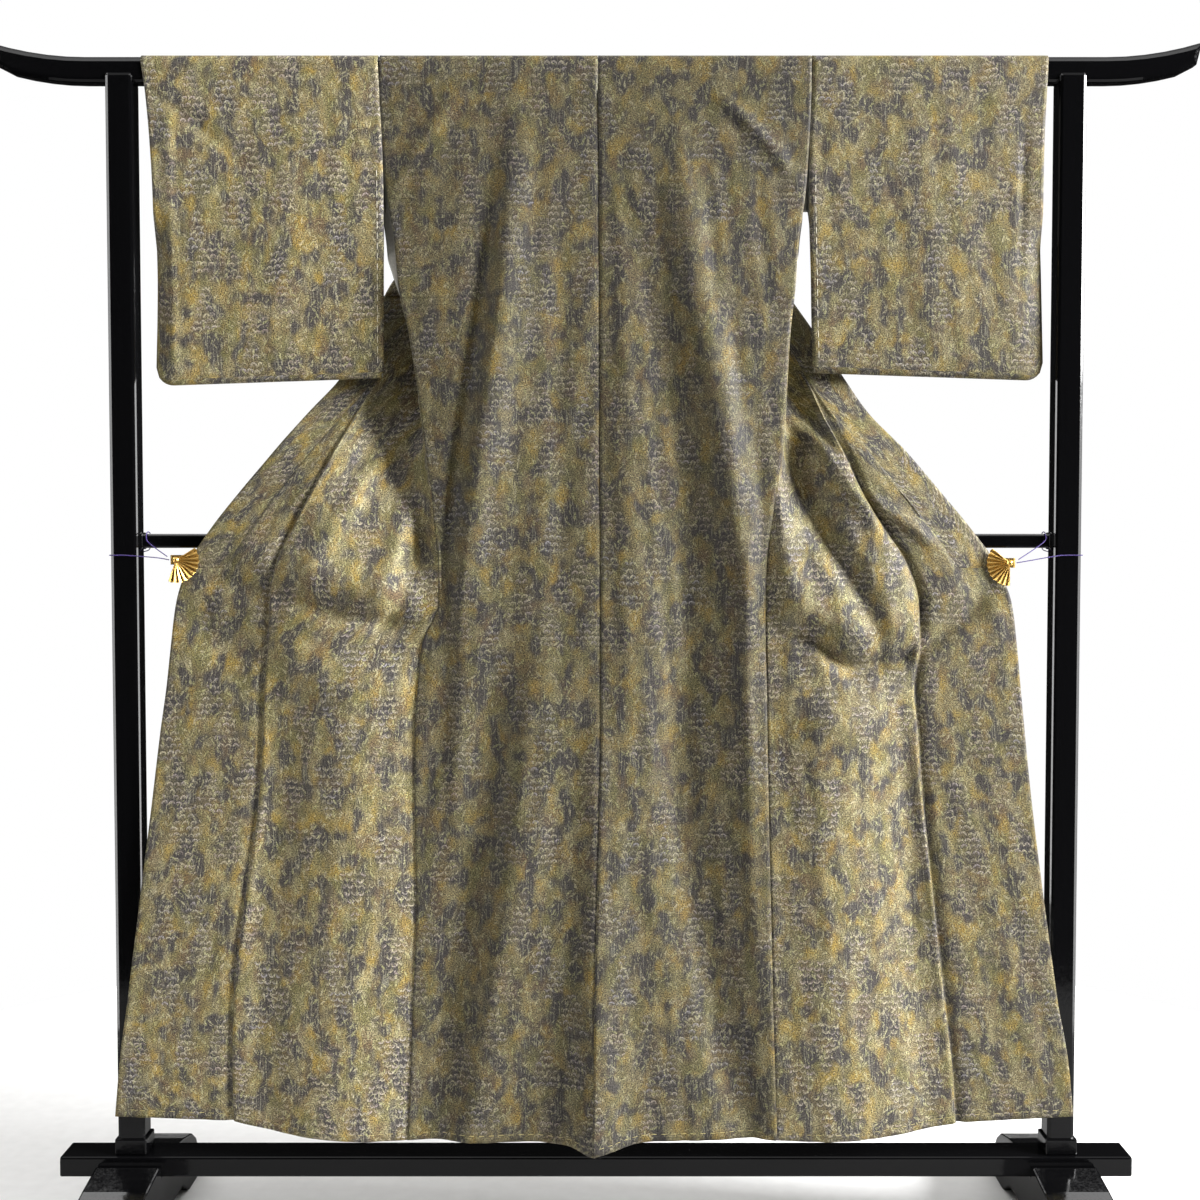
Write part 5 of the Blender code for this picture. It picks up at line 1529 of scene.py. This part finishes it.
def cloth_mesh(name: str, grid: Grid, wall: float, materials: list) -> Piece:
    """Make a thin shell on a grid of cloth.

    Args:
        name: its name.
        grid: the cloth.
        wall: its thickness.
        materials: of the outside, and of the inside if that is another.

    Returns:
        The object, in the scene.
    """
    rows, columns = grid.points.shape[:2]
    present = ~np.isnan(grid.points[:, :, 0])
    index = np.full((rows, columns), -1)
    index[present] = np.arange(present.sum())
    cut = grid.cut
    if grid.closed:
        index = np.concatenate((index, index[:1]))
        step = np.nanmean(np.linalg.norm(grid.points[-1] - grid.points[0], axis=1))
        closing = cut[:1].copy()
        closing[:, :, 1] = cut[-1:, :, 1] + step
        cut = np.concatenate((cut, closing))
    corners = []
    for di, dj in ((0, 0), (0, 1), (1, 1), (1, 0)):
        stop_i, stop_j = index.shape[0] - 1 + di, index.shape[1] - 1 + dj
        corners.append((index[di:stop_i, dj:stop_j], cut[di:stop_i, dj:stop_j]))
    quads = np.stack([c[0].reshape(-1) for c in corners], 1)
    uvs = np.stack([c[1].reshape(-1, 2) for c in corners], 1)
    whole = (quads >= 0).all(axis=1)
    quads, uvs = quads[whole], uvs[whole]
    if grid.outward < 0:
        quads, uvs = quads[:, ::-1], uvs[:, ::-1]
    obj = raw_mesh(name, grid.points[present].tolist(), quads.tolist(), materials)
    layer = obj.data.uv_layers.new(name="cut")
    layer.data.foreach_set("uv", uvs.reshape(-1))
    shell = obj.modifiers.new("wall", "SOLIDIFY")
    shell.thickness = wall
    shell.offset = 0.0
    shell.material_offset = len(materials) - 1
    return obj


def tube_faces(rings: int, around: int, first: int = 0) -> list:
    """Connect rings of vertices into a tube, with both ends closed.

    Args:
        rings: number of rings.
        around: vertices in each.
        first: number of the first vertex.

    Returns:
        The faces.
    """
    faces = []
    for i in range(rings - 1):
        for k in range(around):
            a, b = first + i * around + k, first + i * around + (k + 1) % around
            faces.append((a, b, b + around, a + around))
    faces.append(tuple(first + k for k in reversed(range(around))))
    faces.append(tuple(first + (rings - 1) * around + k for k in range(around)))
    return faces


def frames_along(points: Array) -> tuple[Array, Array, Array]:
    """Find directions along a path, and two across it that turn as little as they can.

    Args:
        points: of the path.

    Returns:
        Three rows of unit vectors.
    """
    points = np.asarray(points, dtype=float)
    along = np.gradient(points, axis=0)
    along /= np.linalg.norm(along, axis=1)[:, None]
    side = np.cross(along[0], (0.0, 0.0, 1.0))
    if np.linalg.norm(side) < 0.1:
        side = np.cross(along[0], (0.0, 1.0, 0.0))
    sides = []
    for direction in along:
        side = side - direction * np.dot(side, direction)
        side = side / np.linalg.norm(side)
        sides.append(side)
    sides = np.array(sides)
    return along, sides, np.cross(along, sides)


def smooth_route(points: Array, step: float) -> tuple[Array, float]:
    """Lead a smooth curve through a cord's own route points.

    Args:
        points: of the route.
        step: distance of the curve's points.

    Returns:
        Even points on the curve, and its length.
    """
    dense, parts = [], 12
    for i in range(len(points) - 1):
        p0, p1 = points[max(i - 1, 0)], points[i]
        p2, p3 = points[i + 1], points[min(i + 2, len(points) - 1)]
        for k in range(parts):
            t = k / parts
            dense.append(0.5 * ((2 * p1) + (p2 - p0) * t + (2 * p0 - 5 * p1 + 4 * p2 - p3) * t * t
                                + (3 * p1 - p0 - 3 * p2 + p3) * t ** 3))
    dense.append(points[-1])
    dense = np.array(dense)
    run = np.concatenate(([0.0], np.cumsum(np.linalg.norm(np.diff(dense, axis=0), axis=1))))
    places = np.linspace(0.0, run[-1], max(2, round(run[-1] / step)) + 1)
    return np.stack([np.interp(places, run, dense[:, a]) for a in range(3)], 1), run[-1]


@dataclass(frozen=True)
class Basting:
    """Long running stitches that hold an edge flat.

    The profile gives shares of the length, of the radius and of the lift at each ring.
    """

    stitch: float = 0.0105
    gap: float = 0.0045
    radius: float = 0.00042
    lift: float = 0.00030
    around: int = 5
    profile: tuple = ((0.0, 0.3, -0.6), (0.12, 0.9, 0.5), (0.5, 1.0, 1.0), (0.88, 0.9, 0.5),
                      (1.0, 0.3, -0.6))

    def sew(self, name: str, lines: list, thread: Material) -> Piece:
        """Make all stitches along some lines as one piece.

        Args:
            name: its name.
            lines: (points, normals) of each line, on the cloth's outer face.
            thread: its material.

        Returns:
            The object.
        """
        points, faces = [], []
        for path, normals in lines:
            run = np.concatenate(([0.0], np.cumsum(np.linalg.norm(np.diff(path, axis=0), axis=1))))
            count = int(run[-1] / (self.stitch + self.gap))
            for k in range(count):
                begin = k * (self.stitch + self.gap)
                at = np.array([begin + self.stitch * p[0] for p in self.profile])
                centre = np.stack([np.interp(at, run, path[:, a]) for a in range(3)], 1)
                up = np.stack([np.interp(at, run, normals[:, a]) for a in range(3)], 1)
                up /= np.linalg.norm(up, axis=1)[:, None]
                lift = np.array([p[2] for p in self.profile])[:, None] * self.lift
                centre = centre + up * lift
                along = np.gradient(centre, axis=0)
                along /= np.linalg.norm(along, axis=1)[:, None]
                side = np.cross(along, up)
                first = len(points)
                for i, p in enumerate(self.profile):
                    for a in range(self.around):
                        angle = 2 * math.pi * a / self.around
                        offset = side[i] * math.cos(angle) + up[i] * math.sin(angle)
                        points.append((centre[i] + offset * self.radius * p[1]).tolist())
                faces += tube_faces(len(self.profile), self.around, first)
        return raw_mesh(name, points, faces, [thread])


def column_line(grid: Grid, rows: range, across: float, from_last: bool) -> tuple[Array, Array]:
    """Draw a line down a panel at a distance from one of its edges.

    Args:
        grid: the panel.
        rows: row numbers.
        across: distance from the edge in metres of cloth.
        from_last: measure from the last column.

    Returns:
        (points, outward normals).
    """
    normals = grid.normals()
    points, ups = [], []
    for i in rows:
        run = grid.cut[i, :, 0]
        run = np.abs(run - (run[-1] if from_last else run[0]))
        order = np.argsort(run)
        at = [np.interp(across, run[order], grid.points[i, order, a]) for a in range(3)]
        up = [np.interp(across, run[order], normals[i, order, a]) for a in range(3)]
        points.append(at)
        ups.append(up)
    points, ups = np.array(points), np.array(ups)
    return points + ups * WALL / 2, ups


def hem_line(grid: Grid, columns: range, up_by: float, from_last: bool) -> tuple[Array, Array]:
    """Draw a line across a panel at a height above its hem row.

    Args:
        grid: the panel.
        columns: column numbers.
        up_by: the height.
        from_last: the hem is the last row.

    Returns:
        (points, outward normals).
    """
    near = 8   # rows that may reach the height
    normals = grid.normals()
    points, ups = [], []
    for j in columns:
        z = grid.points[:, j, 2]
        part = slice(-near, None) if from_last else slice(0, near)
        level = z[part] - (z[-1] if from_last else z[0])
        order = np.argsort(level)
        points.append([np.interp(up_by, level[order], grid.points[part, j, a][order])
                       for a in range(3)])
        ups.append([np.interp(up_by, level[order], normals[part, j, a][order])
                    for a in range(3)])
    points, ups = np.array(points), np.array(ups)
    return points + ups * WALL / 2, ups


def settle(obj: Piece, slot: str, *nodes: str) -> Piece:
    """Make a piece ride on the rack and stand for CAD nodes.

    Args:
        obj: the piece.
        slot: not used.
        nodes: names of the nodes.

    Returns:
        The piece.
    """
    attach(obj, "root")
    if nodes:
        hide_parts(*nodes)
    return obj


@dataclass
class Kimono:
    """The whole garment.

    Attributes:
        painted_light_tones: painted light; how far each panel's silk colour is scaled to stand for
        how brightly it is lit: body at the back and front, overlap panel, sleeve.
        bolt: where on the pattern, in millimetres, a half is cut.
        edge_basting: the stitches beside a sleeve's edge.
        hem_basting: the finer ones above the hems.
    """

    # painted light: each panel's silk is scaled lighter or darker to stand for how brightly it is
    # lit
    painted_light_tones: dict = field(default_factory=lambda: {
        Side.LEFT: ((0.294, 0.605), 0.49, 0.625),
        Side.RIGHT: ((0.287, 0.502), 0.41, 0.475),
    })
    bolt: dict = field(default_factory=lambda: {Side.LEFT: 400.0, Side.RIGHT: 2900.0})
    edge_basting: Basting = Basting()
    hem_basting: Basting = Basting(stitch=0.0085, gap=0.0060, radius=0.00030, lift=0.00020)

    def __post_init__(self) -> None:
        """Make the finishes that all panels share."""
        self.lining = PlainCloth("b9b6ad").build("lining_silk")
        self.thread = PlainCloth("d8d2c0", 0.6, 0.05).build("basting_thread")
        self.hem_thread = PlainCloth("a89a60", 0.6, 0.05).build("hem_basting_thread")

    def silk(self, name: str, across: float, along: float, *painted_light_tones: float) -> Material:
        """Make the patterned silk of a panel, cut from its own stretch of the bolt.

        Args:
            name: of the material.
            across: where on the pattern the panel starts, in millimetres.
            along: the same, lengthwise.
            painted_light_tones: painted light; how far its colour is scaled, at both ends or all
            over, to stand for how brightly it is lit.

        Returns:
            The material.
        """
        painted_light_tones = (painted_light_tones[0], painted_light_tones[-1])
        return PatternedSilk(offset=(across, along), painted_light_tones=painted_light_tones).build(name)

    def build(self) -> None:
        """Make every panel."""
        for side in Side:
            self.build_body(side)
            self.build_overlap(side)
            self.build_sleeve(side)
        self.build_collar()

    def build_body(self, side: Side) -> None:
        """Make one half of the body, with basting above both hems.

        Args:
            side: which half.
        """
        name = side.value
        body = Body(side)
        grid = body.grid()
        silk = self.silk("silk_body_" + name, self.bolt[side], 100.0, *self.painted_light_tones[side][0])
        piece = cloth_mesh("cloth_body_" + name, body.sewn(grid), WALL, [silk, self.lining])
        settle(piece, "silk", "body_" + name)
        last = grid.points.shape[1] - 1
        hems = [hem_line(grid, range(2, last, 2), HEM_STITCH_UP, False),
                hem_line(grid, range(body.neck_cells + 1, last, 2), HEM_STITCH_UP, True)]
        stitches = self.hem_basting.sew("basting_hem_" + name, hems, self.hem_thread)
        settle(stitches, "silk")
        LOG.info("%s: %d rows, %.3f m2", piece.name, len(grid.points), area_of(grid))

    def build_overlap(self, side: Side) -> None:
        """Make a front's overlap panel, with basting above its hem.

        Args:
            side: which front.
        """
        name = side.value
        grid = Overlap(side).grid()
        every = np.ones(len(grid.points), dtype=bool)
        sewn = with_allowance(grid, every, False, OKUMI_ALLOWANCE[side], 0.0,
                              (-side.sign, 0.05, 0.0))
        silk = self.silk("silk_okumi_" + name, self.bolt[side] + 700, 900.0, self.painted_light_tones[side][1])
        piece = cloth_mesh("cloth_okumi_" + name, sewn, WALL, [silk, self.lining])
        settle(piece, "silk", "okumi_" + name)
        hem = hem_line(grid, range(1, grid.points.shape[1] - 1), HEM_STITCH_UP, False)
        stitches = self.hem_basting.sew("basting_okumi_" + name, [hem], self.hem_thread)
        settle(stitches, "silk")
        LOG.info("%s: %.3f m2", piece.name, area_of(grid))

    def build_sleeve(self, side: Side) -> None:
        """Make a sleeve, with basting beside its edge towards the body.

        Args:
            side: which sleeve.
        """
        name = side.value
        sleeve = Sleeve(side)
        grid = sleeve.grid()
        silk = self.silk("silk_sleeve_" + name, self.bolt[side] + 1400, 500.0,
                         self.painted_light_tones[side][2])
        piece = cloth_mesh("cloth_sleeve_" + name, sleeve.sewn(grid), WALL, [silk, self.lining])
        settle(piece, "silk", "sleeve_" + name)
        line = column_line(grid, range(2, 50), EDGE_STITCH_IN, False)
        stitches = self.edge_basting.sew("basting_sleeve_" + name, [line], self.thread)
        settle(stitches, "silk")
        LOG.info("%s: %.3f m2", piece.name, area_of(grid))

    def build_collar(self) -> None:
        """Make the collar and the over-collar that guards it at the neck."""
        collar = Collar().grid()
        silk = self.silk("silk_collar", 5200.0, 300.0, 0.50)
        piece = cloth_mesh("cloth_collar", collar, COLLAR_WALL, [silk])
        settle(piece, "silk_collar", "collar")
        LOG.info("%s: %.3f m2", piece.name, area_of(collar))
        over = Collar().grid(lowest=OVER_COLLAR_Z, start=0.04)
        over = over.moved(np.full(over.points.shape[:2], OVER_COLLAR_LIFT))
        piece = cloth_mesh("cloth_over_collar", over, WALL, [silk])
        settle(piece, "silk_collar", "over_collar")
        LOG.info("%s: %.3f m2", piece.name, area_of(over))


def area_of(grid: Grid) -> float:
    """Measure one layer of cloth.

    Args:
        grid: the cloth.

    Returns:
        Its area in square metres.
    """
    p = grid.points
    if grid.closed:
        p = np.concatenate((p, p[:1]))
    first = np.cross(p[1:, 1:] - p[:-1, :-1], p[1:, :-1] - p[:-1, 1:])
    return float(np.nansum(np.linalg.norm(first, axis=2)) / 2)


# --- clips and cords ---
def clip_place(side: Side) -> Array:
    """Find the fan's hub, just outside the free edge of the front at the clip level.

    Args:
        side: which front.

    Returns:
        Its place.
    """
    table, z = FRONT[side], CLIP_Z[side]
    return np.array((side.sign * (float(table.at(z, "edge_out")) + CLIP_OVERHANG),
                     float(table.at(z, "edge_y")), z))


@dataclass
class FanClip:
    """A small pleated fan of gilded sheet, riveted on a sprung strip that grips the cloth.

    Attributes:
        sheet: thickness of the sheet.
        relief: depth of the pleats at the rim.
        notch: how far each inward fold's end stands back from the rim.
        bevel: rounding of the sheet's cut edges.
        radii: radius and share of the relief, from the hub to the rim.
        rivet_profile: radius and depth of the rivet and its collar, from the front.
    """

    side: Side
    gilt: Material
    pleats: int = 10
    sheet: float = 0.0006
    relief: float = 0.0032
    notch: float = 0.0009
    bevel: float = 0.00012
    radii: tuple = ((0.0045, 0.25), (0.010, 0.45), (0.018, 0.7), (0.026, 0.88),
                    (FAN_RADIUS, 1.0))
    rivet_around: int = 20
    rivet_profile: tuple = ((0.0016, -0.0027), (0.0026, -0.0018), (0.0030, -0.0006),
                            (0.0042, -0.0004), (0.0045, 0.0002), (0.0042, 0.0010),
                            (0.0026, 0.0014), (0.0022, 0.0030))

    def build(self) -> None:
        """Make the plate and its rivet."""
        hub = clip_place(self.side)
        first, last = FAN_SPREAD[self.side]
        count = 2 * self.pleats
        points, faces = [], []
        for radius, relief in self.radii:
            for k in range(count + 1):
                angle = math.radians(first + (last - first) * k / count)
                reach = radius - (self.notch if k % 2 == 0 and radius == FAN_RADIUS else 0.0)
                y = hub[1] - FAN_STAND_OFF + relief * self.relief / 2 * (1 if k % 2 else -1)
                points.append((hub[0] - self.side.sign * reach * math.cos(angle), y,
                               hub[2] + reach * math.sin(angle)))
        for i in range(len(self.radii) - 1):
            for k in range(count):
                a = i * (count + 1) + k
                faces.append((a, a + 1, a + count + 2, a + count + 1))
        plate = raw_mesh("fan_plate_" + self.side.value, points, faces, [self.gilt], smooth=False)
        sheet = plate.modifiers.new("sheet", "SOLIDIFY")
        sheet.thickness = self.sheet
        sheet.offset = 0.0
        edge = plate.modifiers.new("edge", "BEVEL")
        edge.width = self.bevel
        edge.segments = 2
        settle(plate, "gilt", "fan_" + self.side.value)
        settle(self.rivet(hub), "gilt")
        LOG.info("%s: %d pleats", plate.name, self.pleats)

    def rivet(self, hub: Array) -> Piece:
        """Turn the domed rivet and its collar about the Y axis.

        Args:
            hub: the fan's hub.

        Returns:
            The object, in the scene.
        """
        points = []
        for radius, depth in self.rivet_profile:
            for k in range(self.rivet_around):
                angle = 2 * math.pi * k / self.rivet_around
                points.append((hub[0] + radius * math.cos(angle),
                               hub[1] - FAN_STAND_OFF - self.sheet + depth,
                               hub[2] + radius * math.sin(angle)))
        return raw_mesh("fan_rivet_" + self.side.value, points,
                        tube_faces(len(self.rivet_profile), self.rivet_around), [self.gilt])


@dataclass
class TieCord:
    """The thin cord that ties a clip to the rack: round the post and over the cross bar.

    Attributes:
        around: sides of a strand.
        pitch: length of one turn of the twist.
        step: distance of its rings.
        clear: room between the cord and the wood.
        strand_share: a strand's radius against the cord's.
    """

    side: Side
    finish: Material
    strands: int = 2
    around: int = 7
    pitch: float = 0.0052
    step: float = 0.0010
    clear: float = 0.0007
    strand_share: float = 0.56

    def route(self) -> Array:
        """Place the route's own points, as the part's source has them.

        Returns:
            The points.
        """
        eye, sign = clip_place(self.side), self.side.sign
        post = POST_SPACING / 2
        off = POST_SIZE / 2 + CORD_RADIUS + self.clear
        bar = CROSS_BAR_Z + CROSS_BAR_SIZE[0] / 2 + CORD_RADIUS + self.clear
        bar_front = CROSS_BAR_SIZE[1] / 2 + CORD_RADIUS + self.clear
        tie = CORD_TIE_Z
        out = abs(eye[0])
        route = (
            (out + 0.0115, eye[1], eye[2]),
            (out + 0.030, eye[1] + 0.002, eye[2] + 0.003),
            (post - off + 0.004, -off - 0.0012, tie - 0.001),
            (post, -off, tie),
            (post + off - 0.004, -off + 0.0002, tie),
            (post + off - 0.0002, -off + 0.0040, tie),
            (post + off, 0.0, tie),
            (post + off - 0.0002, off - 0.0040, tie),
            (post + off - 0.004, off - 0.0002, tie),
            (post, off, tie + 0.002),
            (post - off + 0.003, off + 0.0006, tie + 0.005),
            (CORD_BAR_OUT + 0.003, off - 0.0040, CROSS_BAR_Z - 0.012),
            (CORD_BAR_OUT + 0.001, bar_front + 0.0020, CROSS_BAR_Z),
            (CORD_BAR_OUT, bar_front + 0.0002, bar - 0.0022),
            (CORD_BAR_OUT, 0.0, bar + 0.0012),
            (CORD_BAR_OUT - 0.0005, -bar_front - 0.0002, bar - 0.0022),
            (CORD_BAR_OUT - 0.004, -bar_front - 0.0040, CROSS_BAR_Z - 0.002),
            (out + 0.0145, eye[1] + 0.001, eye[2] + 0.0048),
        )
        return np.array([(sign * a, y, z) for a, y, z in route])

    def build(self) -> None:
        path, length = smooth_route(self.route(), self.step)
        _, side, up = frames_along(path)
        run = np.linspace(0.0, length, len(path))
        points, faces = [], []
        strand = CORD_RADIUS * self.strand_share
        offset = CORD_RADIUS - strand
        for s in range(self.strands):
            first = len(points)
            phase = 2 * math.pi * (run / self.pitch + s / self.strands)
            centre = path + offset * (side * np.cos(phase)[:, None] + up * np.sin(phase)[:, None])
            _, a, b = frames_along(centre)
            for k in range(len(centre)):
                for j in range(self.around):
                    angle = 2 * math.pi * j / self.around
                    point = centre[k] + strand * (a[k] * math.cos(angle) + b[k] * math.sin(angle))
                    points.append(point.tolist())
            faces += tube_faces(len(centre), self.around, first)
        piece = raw_mesh("tie_cord_" + self.side.value, points, faces, [self.finish])
        settle(piece, "violet_cord", "cord_" + self.side.value)
        LOG.info("%s: %.3f m", piece.name, length)


@dataclass
class Rack:
    """The lacquered stand, whose solids the CAD has."""

    pieces: tuple = ("top_rail", "cross_bar", "base_board", "post_left", "post_right",
                     "foot_left", "foot_right")

    def dress(self, nodes: dict, lacquer: Material) -> None:
        """Lacquer every piece of wood.

        Args:
            nodes: the frame's nodes by name.
            lacquer: the finish.
        """
        for name in self.pieces:
            for slot in nodes[name].material_slots:
                slot.material = lacquer
            LOG.info("%s: lacquered", name)


# --- studio ---
@dataclass(frozen=True)
class Softbox:
    """A rectangular lamp of a breadth and height, aimed at a point, with its power in watts."""

    name: str
    place: tuple
    target: tuple
    size: tuple
    power: float

    def build(self) -> None:
        """Make the lamp."""
        lamp = bpy.data.lights.new(self.name, "AREA")
        lamp.shape = "RECTANGLE"
        lamp.size, lamp.size_y = self.size
        lamp.energy = self.power
        obj = link(bpy.data.objects.new(self.name, lamp))
        obj.location = self.place
        aim = Vector(self.target) - Vector(self.place)
        obj.rotation_euler = aim.to_track_quat("-Z", "Y").to_euler()


@dataclass
class Studio:
    """Camera, floor and light.

    Attributes:
        camera_tilt: its turn from straight down, in degrees.
        lens: focal length in millimetres.
        floor_mirrored: painted reflection; how bright the floor is made where mirrors show it,
        against its own tone.
        ceiling: where the bright ceiling starts, as the height of a direction, and how
            bright the room and the ceiling's middle are.
        ceiling_mirrored: painted reflection; share of that which mirrors show.
        screen_side: how far to the side the posts' edges mirror a screen, and half its breadth;
            the screen is a painted reflection, seen only in mirrors and lighting nothing.
        screen_top: how high the rail's edges mirror one, and half its breadth; it is painted the
            same way.
        screen_power: brightness of the painted reflections of the screen on either side.
        top_share: the top screen's against theirs.
    """

    camera_place: tuple = (0.006, -2.43, 1.0486)
    camera_tilt: float = 90.0 - 2.46
    lens: float = 49.11
    floor_radius: float = 1.7
    floor_around: int = 96
    floor_mirrored: float = 0.3
    ceiling: tuple = (0.62, 0.04, 2.3)
    ceiling_mirrored: float = 0.4
    screen_side: tuple = (0.875, 0.045)
    screen_top: tuple = (0.707, 0.06)
    screen_power: float = 8.5
    top_share: float = 0.35
    softboxes: tuple = (
        Softbox("key", (5.4, -2.0, 2.9), (0.0, 0.0, 1.0), (2.3, 2.3), 1215.0),
        Softbox("fill", (-2.2, -1.80, 2.70), (-0.3, 0.0, 1.1), (0.9, 1.2), 19.0),
    )

    def build(self) -> None:
        """Make the camera, the floor, the lamps and the surrounding light."""
        camera = bpy.data.cameras.new("camera")
        camera.lens = self.lens
        obj = link(bpy.data.objects.new("camera", camera))
        obj.location = self.camera_place
        obj.rotation_euler = (math.radians(self.camera_tilt), 0.0, 0.0)
        bpy.context.scene.camera = obj
        bpy.context.scene.view_settings.view_transform = "Standard"
        self.floor()
        for box in self.softboxes:
            box.build()
        self.surroundings()

    def floor(self) -> None:
        """Lay a round floor of matt white paper, whose fibres cloud it every 25 mm or so."""
        around = self.floor_around
        turns = [2 * math.pi * k / around for k in range(around)]
        rim = [(self.floor_radius * math.cos(t), self.floor_radius * math.sin(t), 0.0)
               for t in turns]
        made, node = new_material("white_paper")
        place = node("TexCoord", out=3)
        fibre = node("TexNoise", place, 40.0, 2.0)
        tone = node("MapRange", fibre, 0.3, 0.7, 0.88, 0.92)
        # painted reflection: mirrors show the floor darker than it looks and than the light it
        # gives back
        path = node("LightPath")
        dim = node("MapRange", path.node.outputs["Is Glossy Ray"], 0.0, 1.0, 1.0,
                   self.floor_mirrored)
        tone = times(node, tone, dim)
        colour = node("CombineColor", tone, tone, tone)
        shader = node("BsdfPrincipled", Base_Color=colour, Roughness=0.9, Specular_IOR_Level=0.2)
        node("OutputMaterial", shader)
        plate = raw_mesh("floor", rim, [tuple(range(around))], [made], smooth=False)

    def surroundings(self) -> None:
        """Surround it all: white to look at, as light a bright ceiling over a dim room, and
        painted reflections for mirrors.
        """
        world = bpy.data.worlds.new("studio")
        bpy.context.scene.world = world
        world.use_nodes = True
        world.node_tree.nodes.clear()
        node = partial(add_node, world.node_tree)
        direction = node("TexCoord")
        axes = node("SeparateXYZ", direction)
        height = axes.node.outputs[2]
        start, room, bright = self.ceiling
        ceiling = node("MapRange", height, start, 1.0, room, bright)
        lit = node("Background", (1.0, 0.99, 0.97, 1.0), ceiling)
        # painted reflections of a narrow white screen on either side and one above, which the
        # lacquer's edges mirror but which light nothing
        sideways = node("Math", axes, operation="ABSOLUTE")
        beside = node("Math", sideways, *self.screen_side, operation="COMPARE")
        above = node("Math", height, *self.screen_top, operation="COMPARE")
        above = node("Math", above, self.top_share, operation="MULTIPLY")
        painted_screen_reflections = node("Math", beside, above, operation="MAXIMUM")
        painted_screen_reflections = node("Math", painted_screen_reflections, self.screen_power, operation="MULTIPLY")
        # painted reflection: mirrors see the ceiling dimmer than the light it gives
        faint = node("Math", ceiling, self.ceiling_mirrored, operation="MULTIPLY")
        mirrored = node("Background", (1.0, 1.0, 1.0, 1.0),
                        node("Math", faint, painted_screen_reflections, operation="ADD"))
        seen = node("Background", (1.0, 1.0, 1.0, 1.0), 1.0)
        path = node("LightPath")
        # glossy rays see the painted reflections, all other light rays the lit room
        light = node("MixShader", path.node.outputs["Is Glossy Ray"], lit, mirrored)
        chosen = node("MixShader", path, light, seen)
        node("OutputWorld", chosen)


def main() -> None:
    """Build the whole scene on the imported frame."""
    logging.basicConfig(level=logging.INFO, format="%(name)s %(message)s")
    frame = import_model()
    Studio().build()
    violet = TwistedCord().build("violet_silk_cord")
    gilt = Gilt().build("gilded_brass")
    for side in Side:
        TieCord(side, violet).build()
    Kimono().build()
    for side in Side:
        FanClip(side, gilt).build()
        for slot in frame["nodes"]["clip_" + side.value].material_slots:
            slot.material = gilt
        LOG.info("clip_%s: gilded", side.value)
    Rack().dress(frame["nodes"], Lacquer().build("black_lacquer"))


if __name__ == "__main__":
    main()
